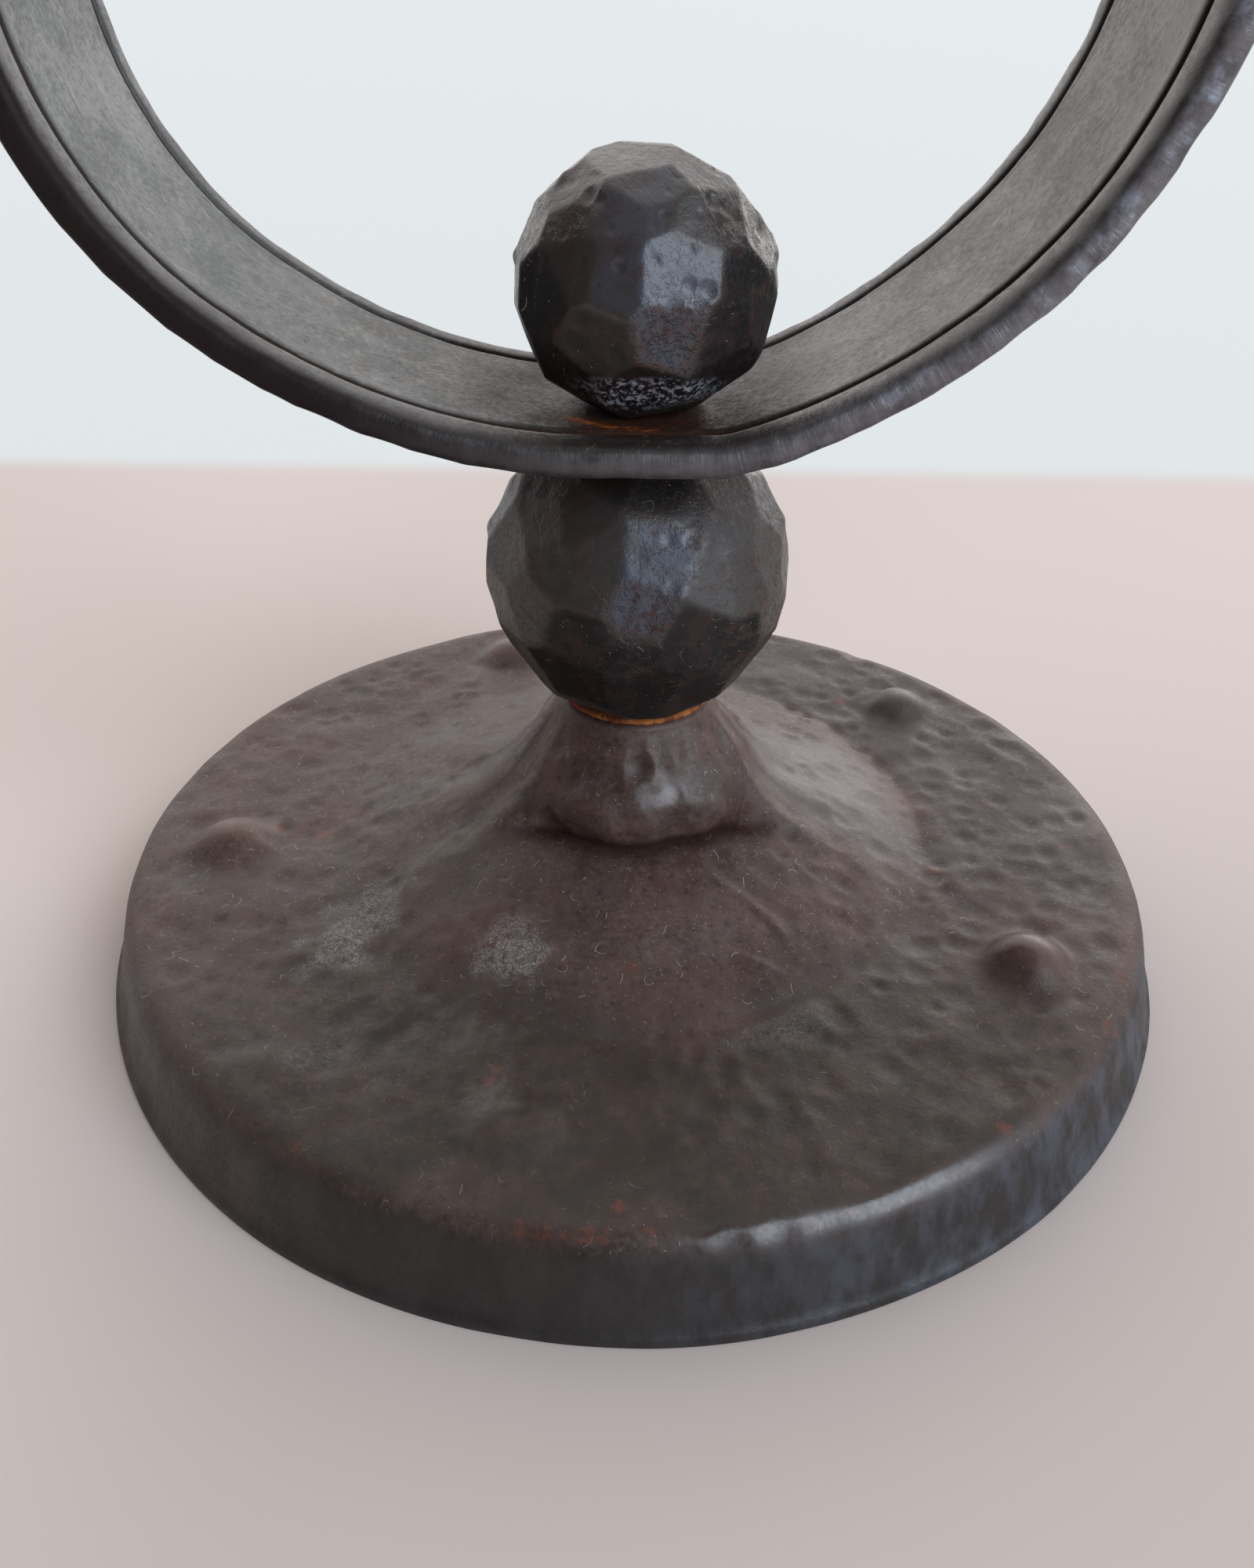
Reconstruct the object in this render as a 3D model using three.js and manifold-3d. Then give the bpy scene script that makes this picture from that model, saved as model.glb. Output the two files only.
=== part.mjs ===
// Two-armed candle holder of hammered iron, in millimetres, with +Z up.
// The origin is on the ground under the tie rod. The arms spread along X and the front is -Y.
import * as THREE from "three";
import { mergeVertices, toCreasedNormals } from "three/addons/utils/BufferGeometryUtils.js";
import Module from "manifold-3d";

const wasm = await Module();
wasm.setup();

// Clearance between a shank and its hole, and between pieces that seat on a slope
const shankClearance = 0.3;
const slopeClearance = 0.3;

// Base plate: one sheet raised into a rim, a flat, a cone and a bell-shaped neck
const baseWall = 2;
const footRadius = 60;
const footLand = 1;
const rimRadius = 57.9;
const rimHeight = 10.6;
const rimInnerFold = 0.6;
const flatRise = 0.8;
const coneFootRadius = 34.5;
const neckFootRadius = 13.4;
const neckFootHeight = 18.1;
const neckTopRadius = 8.4;
const neckTopHeight = 30.2;
const neckShoulder = 4.2;
const neckWaist = 5;

// Embossed bosses around the flat of the base, each with its hollow beneath
const bossCount = 5;
const bossCircleRadius = 46.5;
const bossFirstAngle = -32;
const bossRadius = 5.6;
const bossMound = 1.5;
const bossNib = 1.6;
const bossNibRadius = 1.9;

// Tie rod that clamps the stack, with its washer and nut in the hollow of the base
const rodRadius = 2.5;
const rodThreadInBall = 7.5;
const rodTail = 1.5;
const rodChamfer = 0.4;
const boreSpare = 0.8;
const washerLap = 1.4;
const washerThickness = 2.5;
const nutAcrossFlats = 8;
const nutHeight = 4;

// Seat ring between the neck and the lower ball
const seatRingThickness = 0.8;
const seatRingInset = 0.2;

// Balls, flattened all over by the hammer and cut flat where they seat
const lowerBallRadius = 15;
const lowerBallHeight = 28.8;
const lowerBallBelowCentre = 13.8;
const upperBallRadius = 11.6;
const upperBallBelowCentre = 10.4;
const hammerDepth = 0.3;
// Each row of facets: its tilt above the ball's waist, how many go round, and where the first one faces
const lowerBallRows = [
  { tilt: 72, count: 4, turn: 20 },
  { tilt: 48, count: 7, turn: -2 },
  { tilt: 24, count: 12, turn: -13 },
  { tilt: 0, count: 11, turn: -13 },
  { tilt: -24, count: 9, turn: 12 },
  { tilt: -50, count: 7, turn: -10 },
];
const upperBallRows = [
  { tilt: 90, count: 1, turn: 0 },
  { tilt: 66, count: 4, turn: -34 },
  { tilt: 41, count: 7, turn: -24 },
  { tilt: 17, count: 12, turn: -15 },
  { tilt: -11, count: 9, turn: -17 },
  { tilt: -38, count: 7, turn: -4 },
];

// Arm bar: one flat bar bent up on both sides, with a chased groove along each edge
const armWidth = 29.6;
const armThickness = 2.6;
const elbowRadius = 8;
const leftFlat = 7.5;
const leftElbowSlope = 4;
const leftLowRadius = 57;
const leftLowSlope = 36;
const leftHighRadius = 37;
const leftHighSlope = 90;
const leftRise = 8.7;
const rightFlat = 6.4;
const rightElbowSlope = 17;
const rightLowRadius = 62;
const rightLowSlope = 39;
const rightHighRadius = 45;
const rightHighSlope = 76;
const shelfBendRadius = 8;
const shelfReach = 13.5;
const frontGrooveInset = 4.6;
const backGrooveInset = 4;
const grooveWidth = 0.8;
const grooveDepth = 0.7;

// Drip pans: shallow dishes of sheet
const panWall = 1.4;
const panFloorRadius = 19;
const panRadius = 28;
const panDepth = 6.4;

// Candle cups: drawn sockets with a flared lip
const cupWall = 1.3;
const cupBoreRadius = 11.4;
const cupHeight = 23;
const cupCorner = 1.6;
const cupLipReach = 2.6;
const cupLipHeight = 4;

// Rivets that hold each cup and pan on its arm
const rivetRadius = 2.4;
const rivetHeadRadius = 4.4;
const rivetHeadHeight = 1.7;
const candleSeatMargin = 0.6;

// How finely round shapes are divided
const roundSides = 64;
const panSides = 40;
const smallSides = 32;
const rivetSides = 20;
const bossSides = 12;
const tipSteps = 12;
const curveSteps = 4;
const bendStep = 5;
const foldSteps = 2;
const domeSteps = 3;

// Levels and places that follow from the sizes above
const rodBore = rodRadius + shankClearance;
const rivetBore = rivetRadius + shankClearance;
const seatRingTop = neckTopHeight + seatRingThickness;
const armUnderside = seatRingTop + lowerBallHeight;
const armTop = armUnderside + armThickness;

// Bends of each arm in turn: the radius of its underside, and the slope that it ends at
const leftBends = [
  { radius: elbowRadius, to: leftElbowSlope },
  { radius: leftLowRadius, to: leftLowSlope },
  { radius: leftHighRadius, to: leftHighSlope },
];
const rightBends = [
  { radius: elbowRadius, to: rightElbowSlope },
  { radius: rightLowRadius, to: rightLowSlope },
  { radius: rightHighRadius, to: rightHighSlope },
];

const leftArm = { flat: leftFlat, bends: leftBends, straight: leftRise };
const leftStart = walkArm(leftArm);
const shelfTop = leftStart.z + armThickness;
const panX = leftStart.x + shelfReach;
const rightArm = { flat: rightFlat, bends: rightBends, straight: 0 };
rightArm.straight = (leftStart.z - walkArm(rightArm).z) / Math.sin(radians(lastAngle(rightArm)));

function radians(degrees) {
  return (degrees * Math.PI) / 180;
}

// Angles that divide a quarter turn into equal steps, both ends with them
function quarterTurn(steps) {
  return Array.from({ length: steps + 1 }, (_, i) => (Math.PI / 2) * (i / steps));
}

// A closed mesh: shared vertices merged, and no triangle that has shrunk to a line
function closed(geometry) {
  const bare = geometry.clone();
  for (const name of ["normal", "uv"]) bare.deleteAttribute(name);
  const merged = mergeVertices(bare, 1e-4);
  const index = [...merged.index.array];
  const kept = [];
  for (let i = 0; i < index.length; i += 3) {
    const [a, b, c] = index.slice(i, i + 3);
    if (a !== b && b !== c && c !== a) kept.push(a, b, c);
  }
  merged.setIndex(kept);
  return merged;
}

function solid(geometry) {
  const merged = closed(geometry);
  return new wasm.Manifold(
    new wasm.Mesh({
      numProp: 3,
      vertProperties: merged.attributes.position.array,
      triVerts: new Uint32Array(merged.index.array),
    }),
  );
}

function geometryOf(manifold) {
  const mesh = manifold.getMesh();
  const geometry = new THREE.BufferGeometry();
  geometry.setAttribute("position", new THREE.BufferAttribute(mesh.vertProperties, 3));
  geometry.setIndex(new THREE.BufferAttribute(mesh.triVerts, 1));
  return geometry;
}

// A profile of [radius, height] points turned about the Z axis, walked with the metal on its left
function turned(profile, sides) {
  const points = profile.map(([r, z]) => new THREE.Vector2(r, z));
  return closed(new THREE.LatheGeometry(points, sides).rotateX(Math.PI / 2));
}

// The other face of a sheet: a line of points moved to its left by the wall, with mitred corners
function otherFace(line, wall) {
  const points = line.map(([r, z]) => new THREE.Vector2(r, z));
  const last = points.length - 1;
  return points.map((point, i) => {
    const from = Math.max(i - 1, 0);
    const to = Math.min(i, last - 1);
    const before = points[from + 1].clone().sub(points[from]).normalize();
    const after = points[to + 1].clone().sub(points[to]).normalize();
    const along = before.clone().add(after).normalize();
    const reach = wall / along.dot(before);
    return [point.x - along.y * reach, point.y + along.x * reach];
  });
}

// A turned sheet of even wall, from the line of its outer face
function turnedSheet(line, wall, sides) {
  const profile = [...line, ...otherFace(line, wall).reverse(), line[0]];
  return turned(profile, sides);
}

function pointsAlong(curve) {
  return curve.getPoints(curveSteps).map((point) => [point.x, point.y]);
}

// A side or lip of sheet that sweeps from level to upright or back, about its corner point
function sweepUp(start, corner, end) {
  const [a, b, c] = [start, corner, end].map(([r, z]) => new THREE.Vector2(r, z));
  return pointsAlong(new THREE.QuadraticBezierCurve(a, b, c));
}

function disc(radius, bore, thickness, sides) {
  return turned(
    [
      [bore, 0],
      [radius, 0],
      [radius, thickness],
      [bore, thickness],
      [bore, 0],
    ],
    sides,
  );
}

// Base plate

function flatHeightAt(radius) {
  const share = (rimRadius - radius) / (rimRadius - coneFootRadius);
  return rimHeight + flatRise * share;
}

function baseLine() {
  const fold = rimInnerFold + baseWall;
  const rim = quarterTurn(foldSteps).map((angle) => [
    rimRadius - fold + fold * Math.cos(angle),
    rimHeight - fold + fold * Math.sin(angle),
  ]);
  const neck = new THREE.CubicBezierCurve(
    new THREE.Vector2(neckFootRadius, neckFootHeight),
    new THREE.Vector2(neckFootRadius, neckFootHeight + neckShoulder),
    new THREE.Vector2(neckTopRadius, neckTopHeight - neckWaist),
    new THREE.Vector2(neckTopRadius, neckTopHeight),
  );
  return [
    [footRadius, 0],
    [footRadius, footLand],
    ...rim,
    [coneFootRadius, rimHeight + flatRise],
    ...pointsAlong(neck),
    [rodBore, neckTopHeight],
  ];
}

// A soft mound with a pointed nib. It reaches down by its root into the sheet.
function mound(radius, height, root) {
  const profile = [
    [0, -root],
    [radius, -root],
  ];
  for (let i = 0; i <= curveSteps; i += 1) {
    const r = radius * (1 - i / curveSteps);
    const swell = 0.5 + 0.5 * Math.cos((Math.PI * r) / radius);
    const nib = bossNib * Math.exp(-((r / bossNibRadius) ** 2));
    profile.push([r, bossMound * swell + nib + height]);
  }
  return turned(profile, bossSides);
}

function basePlate() {
  let plate = solid(turnedSheet(baseLine(), baseWall, roundSides));
  const height = flatHeightAt(bossCircleRadius);
  for (let i = 0; i < bossCount; i += 1) {
    const angle = radians(bossFirstAngle + (360 * i) / bossCount);
    const place = [bossCircleRadius * Math.cos(angle), bossCircleRadius * Math.sin(angle), height];
    const boss = solid(mound(bossRadius, 0, baseWall / 2)).translate(place);
    const hollow = solid(mound(bossRadius - baseWall / 2, -baseWall, 2 * baseWall)).translate(place);
    plate = plate.add(boss).subtract(hollow);
  }
  return geometryOf(plate);
}

// Height of the sheet's underside at a radius within the cone
function coneUndersideAt(radius) {
  const line = otherFace(baseLine(), baseWall);
  const after = line.findIndex(([r, z]) => r < radius && z > rimHeight - baseWall);
  const [r0, z0] = line[after - 1];
  const [r1, z1] = line[after];
  return z0 + ((radius - r0) / (r1 - r0)) * (z1 - z0);
}

// Tie rod and what it tightens

const washerRadius = neckFootRadius - baseWall + washerLap;
const washerTop = coneUndersideAt(washerRadius) - slopeClearance;
const nutTop = washerTop - washerThickness;
const rodFoot = nutTop - nutHeight - rodTail;
const rodHead = armTop + rodThreadInBall;

function tieRod() {
  const length = rodHead - rodFoot;
  return turned(
    [
      [0, 0],
      [rodRadius - rodChamfer, 0],
      [rodRadius, rodChamfer],
      [rodRadius, length - rodChamfer],
      [rodRadius - rodChamfer, length],
      [0, length],
    ],
    smallSides,
  );
}

function nut() {
  const corner = nutAcrossFlats / 2 / Math.cos(radians(30));
  const outline = new THREE.Shape();
  for (let i = 0; i < 6; i += 1) {
    const angle = radians(60 * i);
    outline[i === 0 ? "moveTo" : "lineTo"](corner * Math.cos(angle), corner * Math.sin(angle));
  }
  outline.closePath();
  outline.holes.push(new THREE.Path().absarc(0, 0, rodBore, 0, 2 * Math.PI, true));
  const curveSegments = smallSides / 2;
  return new THREE.ExtrudeGeometry(outline, { depth: nutHeight, bevelEnabled: false, curveSegments });
}

// A ball flattened by hammer facets. Its centre is at the origin, with seats cut below and above.
function hammeredBall(radius, rows, below, above) {
  let ball = solid(new THREE.BoxGeometry(3 * radius, 3 * radius, 3 * radius));
  for (const row of rows) {
    for (let i = 0; i < row.count; i += 1) {
      const tilt = radians(row.tilt);
      const turn = radians(row.turn + (360 * i) / row.count);
      const depth = hammerDepth * (i % 3);
      const inward = [
        -Math.sin(turn) * Math.cos(tilt),
        Math.cos(turn) * Math.cos(tilt),
        -Math.sin(tilt),
      ];
      ball = ball.trimByPlane(inward, depth - radius);
    }
  }
  return ball.trimByPlane([0, 0, 1], -below).trimByPlane([0, 0, -1], -above);
}

function boreCut(radius, from, to) {
  const cut = new THREE.CylinderGeometry(radius, radius, to - from, smallSides);
  return solid(cut.rotateX(Math.PI / 2)).translate([0, 0, (from + to) / 2]);
}

function lowerBall() {
  const above = lowerBallHeight - lowerBallBelowCentre;
  const ball = hammeredBall(lowerBallRadius, lowerBallRows, lowerBallBelowCentre, above);
  return geometryOf(ball.subtract(boreCut(rodBore, -2 * lowerBallRadius, 2 * lowerBallRadius)));
}

function upperBall() {
  const ball = hammeredBall(upperBallRadius, upperBallRows, upperBallBelowCentre, upperBallRadius);
  const boreEnd = rodThreadInBall + boreSpare - upperBallBelowCentre;
  return geometryOf(ball.subtract(boreCut(rodBore, -2 * upperBallRadius, boreEnd)));
}

// Arm bar

function lastAngle(arm) {
  return arm.bends[arm.bends.length - 1].to;
}

// Walks an arm's underside from the middle outwards, and says where its level shelf starts.
// When it is given a list, it adds the points of the face that lies lift above the underside.
function walkArm(arm, lift = 0, points = []) {
  const at = { x: arm.flat, z: armUnderside, angle: 0 };
  const add = () => {
    const angle = radians(at.angle);
    points.push([at.x - lift * Math.sin(angle), at.z + lift * Math.cos(angle)]);
  };
  const turnTo = (radius, end) => {
    const start = at.angle;
    const centre = [
      at.x - radius * Math.sin(radians(start)),
      at.z + radius * Math.cos(radians(start)),
    ];
    const steps = Math.ceil(Math.abs(end - start) / bendStep);
    for (let i = 1; i <= steps; i += 1) {
      at.angle = start + ((end - start) * i) / steps;
      at.x = centre[0] + radius * Math.sin(radians(at.angle));
      at.z = centre[1] - radius * Math.cos(radians(at.angle));
      add();
    }
  };
  add();
  for (const bend of arm.bends) turnTo(bend.radius, bend.to);
  at.x += arm.straight * Math.cos(radians(at.angle));
  at.z += arm.straight * Math.sin(radians(at.angle));
  if (arm.straight > 0) add();
  turnTo(-shelfBendRadius, 0);
  return at;
}

// One face of an arm from the middle to past its tip, mirrored to its own side
function armFace(arm, side, lift) {
  const points = [];
  walkArm(arm, lift, points);
  const level = points[points.length - 1][1];
  points.push([panX + armWidth, level]);
  return points.map(([x, z]) => new THREE.Vector2(side * x, z));
}

// The bar between two lifts above its underside, as wide as asked and centred on y
function barSlice(lowLift, highLift, width, y) {
  const outline = new THREE.Shape([
    ...armFace(rightArm, 1, lowLift),
    ...armFace(rightArm, 1, highLift).reverse(),
    ...armFace(leftArm, -1, highLift),
    ...armFace(leftArm, -1, lowLift).reverse(),
  ]);
  const slice = new THREE.ExtrudeGeometry(outline, { depth: width, bevelEnabled: false });
  return solid(slice.rotateX(Math.PI / 2)).translate([0, y + width / 2, 0]);
}

// Plan of the bar: straight sides with a round end about each pan's centre
function barPlan() {
  const end = armWidth / 2;
  const plan = new THREE.Shape();
  plan.absarc(panX, 0, end, -Math.PI / 2, Math.PI / 2);
  plan.absarc(-panX, 0, end, Math.PI / 2, (3 * Math.PI) / 2);
  plan.closePath();
  const depth = shelfTop + armWidth;
  return new THREE.ExtrudeGeometry(plan, { depth, bevelEnabled: false, curveSegments: tipSteps });
}

function armBar() {
  const grooveFloor = armThickness - grooveDepth;
  const grooveTop = armThickness + grooveDepth;
  const frontGroove = frontGrooveInset - armWidth / 2;
  const backGroove = armWidth / 2 - backGrooveInset;
  let bar = barSlice(0, armThickness, armWidth, 0).intersect(solid(barPlan()));
  for (const y of [frontGroove, backGroove]) {
    bar = bar.subtract(barSlice(grooveFloor, grooveTop, grooveWidth, y));
  }
  bar = bar.subtract(boreCut(rodBore, armUnderside - armThickness, armTop + armThickness));
  for (const x of [-panX, panX]) {
    const hole = boreCut(rivetBore, shelfTop - 2 * armThickness, shelfTop + armThickness);
    bar = bar.subtract(hole.translate([x, 0, 0]));
  }
  return geometryOf(bar);
}

// Drip pan, candle cup and rivet, each with its underside or seat at z = 0

function dripPan() {
  const side = sweepUp([panFloorRadius, 0], [panRadius, 0], [panRadius, panDepth]);
  return turnedSheet([[rivetBore, 0], ...side], panWall, panSides);
}

function candleCup() {
  const radius = cupBoreRadius + cupWall;
  const rim = cupHeight - cupWall;
  const lip = sweepUp([radius, rim - cupLipHeight], [radius, rim], [radius + cupLipReach, rim]);
  const seat = rivetHeadRadius + candleSeatMargin;
  const line = [[rivetBore, 0], [seat, 0], [radius - cupCorner, 0], [radius, cupCorner], ...lip];
  return turnedSheet(line, cupWall, smallSides);
}

// The shank runs through the arm, the pan and the cup, with a domed head at each end
function rivet() {
  const gripLow = -armThickness;
  const gripHigh = panWall + cupWall;
  const dome = quarterTurn(domeSteps).map((angle) => [
    rivetHeadRadius * Math.sin(angle),
    rivetHeadHeight * Math.cos(angle),
  ]);
  const lowHead = dome.map(([r, z]) => [r, gripLow - z]);
  const highHead = dome.map(([r, z]) => [r, gripHigh + z]).reverse();
  const shank = [[rivetRadius, gripLow], [rivetRadius, gripHigh]];
  return turned([...lowHead, ...shank, ...highHead], rivetSides);
}

// Finishes, one material for each mesh

const brownIron = { color: 0x4d423d, roughness: 0.55, metalness: 0.75 };
const blackIron = { color: 0x2f2d30, roughness: 0.45, metalness: 0.8 };
const greyIron = { color: 0x565553, roughness: 0.5, metalness: 0.75 };
const rustyIron = { color: 0x8a4b22, roughness: 0.9, metalness: 0.2 };
const plainSteel = { color: 0x6b6764, roughness: 0.6, metalness: 0.7 };

const creaseAngle = radians(22);

function piece(name, geometry, finish, z = 0) {
  const shaded = toCreasedNormals(geometry, creaseAngle);
  const mesh = new THREE.Mesh(shaded, new THREE.MeshStandardMaterial(finish));
  mesh.name = name;
  mesh.position.z = z;
  return mesh;
}

// The pan, cup and rivet of one arm, standing on its shelf
function candleStand(side, name) {
  const stand = new THREE.Group();
  stand.position.set(side * panX, 0, shelfTop);
  stand.add(
    piece(name + "_drip_pan", dripPan(), brownIron),
    piece(name + "_candle_cup", candleCup(), brownIron, panWall),
    piece(name + "_rivet", rivet(), blackIron),
  );
  return stand;
}

// The stack on the tie rod, from the ground up
function stack() {
  const ringRadius = neckTopRadius - seatRingInset;
  const lowerCentre = seatRingTop + lowerBallBelowCentre;
  const upperCentre = armTop + upperBallBelowCentre;
  const washer = disc(washerRadius, rodBore, washerThickness, smallSides);
  const seatRing = disc(ringRadius, rodBore, seatRingThickness, smallSides);
  const group = new THREE.Group();
  group.add(
    piece("base_plate", basePlate(), brownIron),
    piece("base_nut", nut(), plainSteel, nutTop - nutHeight),
    piece("base_washer", washer, plainSteel, nutTop),
    piece("tie_rod", tieRod(), plainSteel, rodFoot),
    piece("seat_ring", seatRing, rustyIron, neckTopHeight),
    piece("lower_ball", lowerBall(), blackIron, lowerCentre),
    piece("arm_bar", armBar(), greyIron),
    piece("upper_ball", upperBall(), blackIron, upperCentre),
  );
  return group;
}

const candleHolder = new THREE.Group();
candleHolder.add(stack(), candleStand(-1, "left"), candleStand(1, "right"));

export default candleHolder;
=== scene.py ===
import math

import bpy
import numpy as np
from mathutils import Matrix


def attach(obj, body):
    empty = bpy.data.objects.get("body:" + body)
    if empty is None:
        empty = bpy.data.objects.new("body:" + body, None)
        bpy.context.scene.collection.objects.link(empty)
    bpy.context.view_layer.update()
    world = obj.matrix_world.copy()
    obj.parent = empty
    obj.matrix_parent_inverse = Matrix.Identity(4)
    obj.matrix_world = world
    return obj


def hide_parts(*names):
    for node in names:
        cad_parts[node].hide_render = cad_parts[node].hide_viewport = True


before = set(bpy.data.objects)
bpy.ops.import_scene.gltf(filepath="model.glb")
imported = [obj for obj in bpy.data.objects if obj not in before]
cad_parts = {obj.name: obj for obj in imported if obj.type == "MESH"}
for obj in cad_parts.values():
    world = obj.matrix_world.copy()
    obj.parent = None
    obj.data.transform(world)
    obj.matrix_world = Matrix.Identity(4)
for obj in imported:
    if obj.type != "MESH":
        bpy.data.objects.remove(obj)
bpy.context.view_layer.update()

mm = 0.001

# Camera, light and floor
# The holder is seen close up from the front and a little above, in the daylight of a broad window
# at the front right. A pale floor lies under it, warm near by and cooler further back; the warm part is
# painted lighter further back and at the left and a touch darker at the right, as painted light and shade.

camera_place = (-1.517, -128.327, 102.992)
camera_down = math.radians(33.62)
camera_aside = math.radians(0.277)
camera_roll = math.radians(0.841)

ahead = np.array([
    math.sin(camera_aside) * math.cos(camera_down),
    math.cos(camera_aside) * math.cos(camera_down),
    -math.sin(camera_down),
])
level = np.array([math.cos(camera_aside), -math.sin(camera_aside), 0])
upright = np.cross(level, ahead)
right = math.cos(camera_roll) * level + math.sin(camera_roll) * upright
top = math.cos(camera_roll) * upright - math.sin(camera_roll) * level
camera_axes = np.eye(4)
camera_axes[:3, 0] = right
camera_axes[:3, 1] = top
camera_axes[:3, 2] = -ahead
camera_axes[:3, 3] = np.array(camera_place) * mm

bpy.ops.object.camera_add()
camera = bpy.context.object
camera.name = "camera"
camera.matrix_world = Matrix(camera_axes.tolist())
camera.data.lens = 30.925
camera.data.sensor_width = 36
camera.data.clip_start = 0.005
bpy.context.scene.camera = camera
bpy.context.scene.view_settings.view_transform = "Standard"


def shine(name, azimuth, elevation, distance, size, power, colour):
    """A soft square lamp that faces the holder. Azimuth 0 is in front, and 90 is on the right."""
    turn = math.radians(azimuth)
    rise = math.radians(elevation)
    aim = np.array([
        math.sin(turn) * math.cos(rise),
        -math.cos(turn) * math.cos(rise),
        math.sin(rise),
    ])
    bpy.ops.object.light_add(type="AREA", location=aim * distance, rotation=(0, 0, 0))
    lamp = bpy.context.object
    lamp.name = name
    lamp.rotation_euler = (math.pi / 2 - rise, 0, turn)
    lamp.data.shape = "SQUARE"
    lamp.data.size = size
    lamp.data.energy = power
    lamp.data.color = colour
    return lamp


shine("window", azimuth=48, elevation=29, distance=1.3, size=1.05, power=16, colour=(0.79, 0.89, 1))


class Value:
    """What a node puts out. Sums on it are Math nodes in its tree."""

    def __init__(self, socket):
        self.socket = socket
        self.tree = socket.id_data

    def math(self, operation, *others, kind="Math", out=0):
        made = self.tree.nodes.new("ShaderNode" + kind)
        made.operation = operation
        for socket, value in zip(made.inputs, (self, *others)):
            join(value, socket)
        return Value(made.outputs[out])

    def __add__(self, other):
        return self.math("ADD", other)

    def __sub__(self, other):
        return self.math("SUBTRACT", other)

    def __mul__(self, other):
        return self.math("MULTIPLY", other)

    def __abs__(self):
        return self.math("ABSOLUTE")

    def fade(self, low, high, start=0.0, end=1.0):
        """Goes softly from start to end while this value goes from low to high."""
        sockets = {"Value": self, "From_Min": low, "From_Max": high, "To_Min": start, "To_Max": end}
        return place(self.tree, "MapRange", {"interpolation_type": "SMOOTHSTEP"}, **sockets)["Result"]

    def blend(self, first, second):
        """Two colours mixed by this share of the second."""
        made = self.tree.nodes.new("ShaderNodeMix")
        made.data_type = "RGBA"
        for number, value in ((0, self), (6, first), (7, second)):
            join(value, made.inputs[number])
        return Value(made.outputs[2])


def join(value, socket):
    """Joins a value to a socket, or sets the socket to a number, vector or colour."""
    if isinstance(value, Value):
        socket.id_data.links.new(value.socket, socket)
    else:
        socket.default_value = (*value, 1) if socket.type == "RGBA" else value


def feed(node, **sockets):
    """Joins or sets a node's sockets by their names."""
    for name, value in sockets.items():
        join(value, node.inputs[name.replace("_", " ")])


def place(tree, kind, settings=None, **sockets):
    """Puts a node in a node tree, with its settings and sockets, and gives what it puts out by name."""
    made = tree.nodes.new("ShaderNode" + kind)
    for name, value in (settings or {}).items():
        setattr(made, name, value)
    feed(made, **sockets)
    return {out.name: Value(out) for out in made.outputs}


def new_finish(name):
    """A new material, its shader, and the place on the piece."""
    finish = bpy.data.materials.new(name)
    finish.use_nodes = True
    return finish, finish.node_tree.nodes["Principled BSDF"], place(finish.node_tree, "TexCoord")["Object"]


# Dim from the front, bright from behind, and brightest behind at the right, but even where it is seen
sky = bpy.data.worlds.new("daylight")
sky.use_nodes = True
bpy.context.scene.world = sky
sky_tree = sky.node_tree
sky_tree.nodes.clear()
sky_way = place(sky_tree, "TexCoord")["Generated"]
sky_split = place(sky_tree, "SeparateXYZ", Vector=sky_way)
sky_patch = sky_way.math("DOT_PRODUCT", (0.50, 0.86, 0.10), kind="VectorMath", out=1)
sky_back = sky_split["Y"] + sky_split["Z"] * 0.35
sky_lit = sky_back.fade(-0.2, 1.05).blend((0.055, 0.050, 0.048), (1.48, 1.43, 1.40))
sky_seen = place(sky_tree, "LightPath")["Is Camera Ray"]
sky_light = place(
    sky_tree, "Background", Color=sky_seen.blend(sky_lit, (0.80, 0.84, 0.86)),
    Strength=sky_seen.fade(0, 1, sky_patch.fade(0.90, 0.985, 1.0, 2.0), 1.0),
)
place(sky_tree, "OutputWorld", Surface=sky_light["Background"])

black = (0, 0, 0)
floor_near = (0.64, 0.55, 0.515)
floor_far_painted_light = (0.80, 0.70, 0.665)
floor_left_painted_light = (0.90, 0.80, 0.76)
floor_cool = (0.74, 0.78, 0.80)
floor_change = 0.147
floor_softness = 0.006

bpy.ops.mesh.primitive_plane_add(size=8)
floor = bpy.context.object
floor.name = "floor"
floor_finish, floor_shader, floor_where = new_finish("pale floor")
floor_split = place(floor_where.tree, "SeparateXYZ", Vector=floor_where)
floor_back = floor_split["Y"].fade(floor_change - floor_softness, floor_change + floor_softness)
# Painted light and shade: the warm part gets lighter further back and at the left, and a touch darker at the
# right
floor_warm_and_painted_light = floor_split["Y"].fade(-0.09, 0.16).blend(floor_near, floor_far_painted_light)
floor_warm_and_painted_light = floor_split["X"].fade(-0.12, 0.12, 0, 0.02).blend(floor_warm_and_painted_light, black)
floor_warm_and_painted_light = floor_split["X"].fade(-0.025, -0.08, 0, 0.42).blend(floor_warm_and_painted_light, floor_left_painted_light)
feed(
    floor_shader, Base_Color=floor_back.blend(floor_warm_and_painted_light, black), Roughness=0.9, Specular_IOR_Level=0.1,
    Emission_Color=floor_back.blend(black, floor_cool), Emission_Strength=1.0,
)
floor.data.materials.append(floor_finish)

# Foot
# One sheet of iron, raised on a stake into a rim, a flat with five embossed bosses, a cone and a
# bell-shaped neck. It is planished all over with a small ball hammer, then blackened and waxed.

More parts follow.
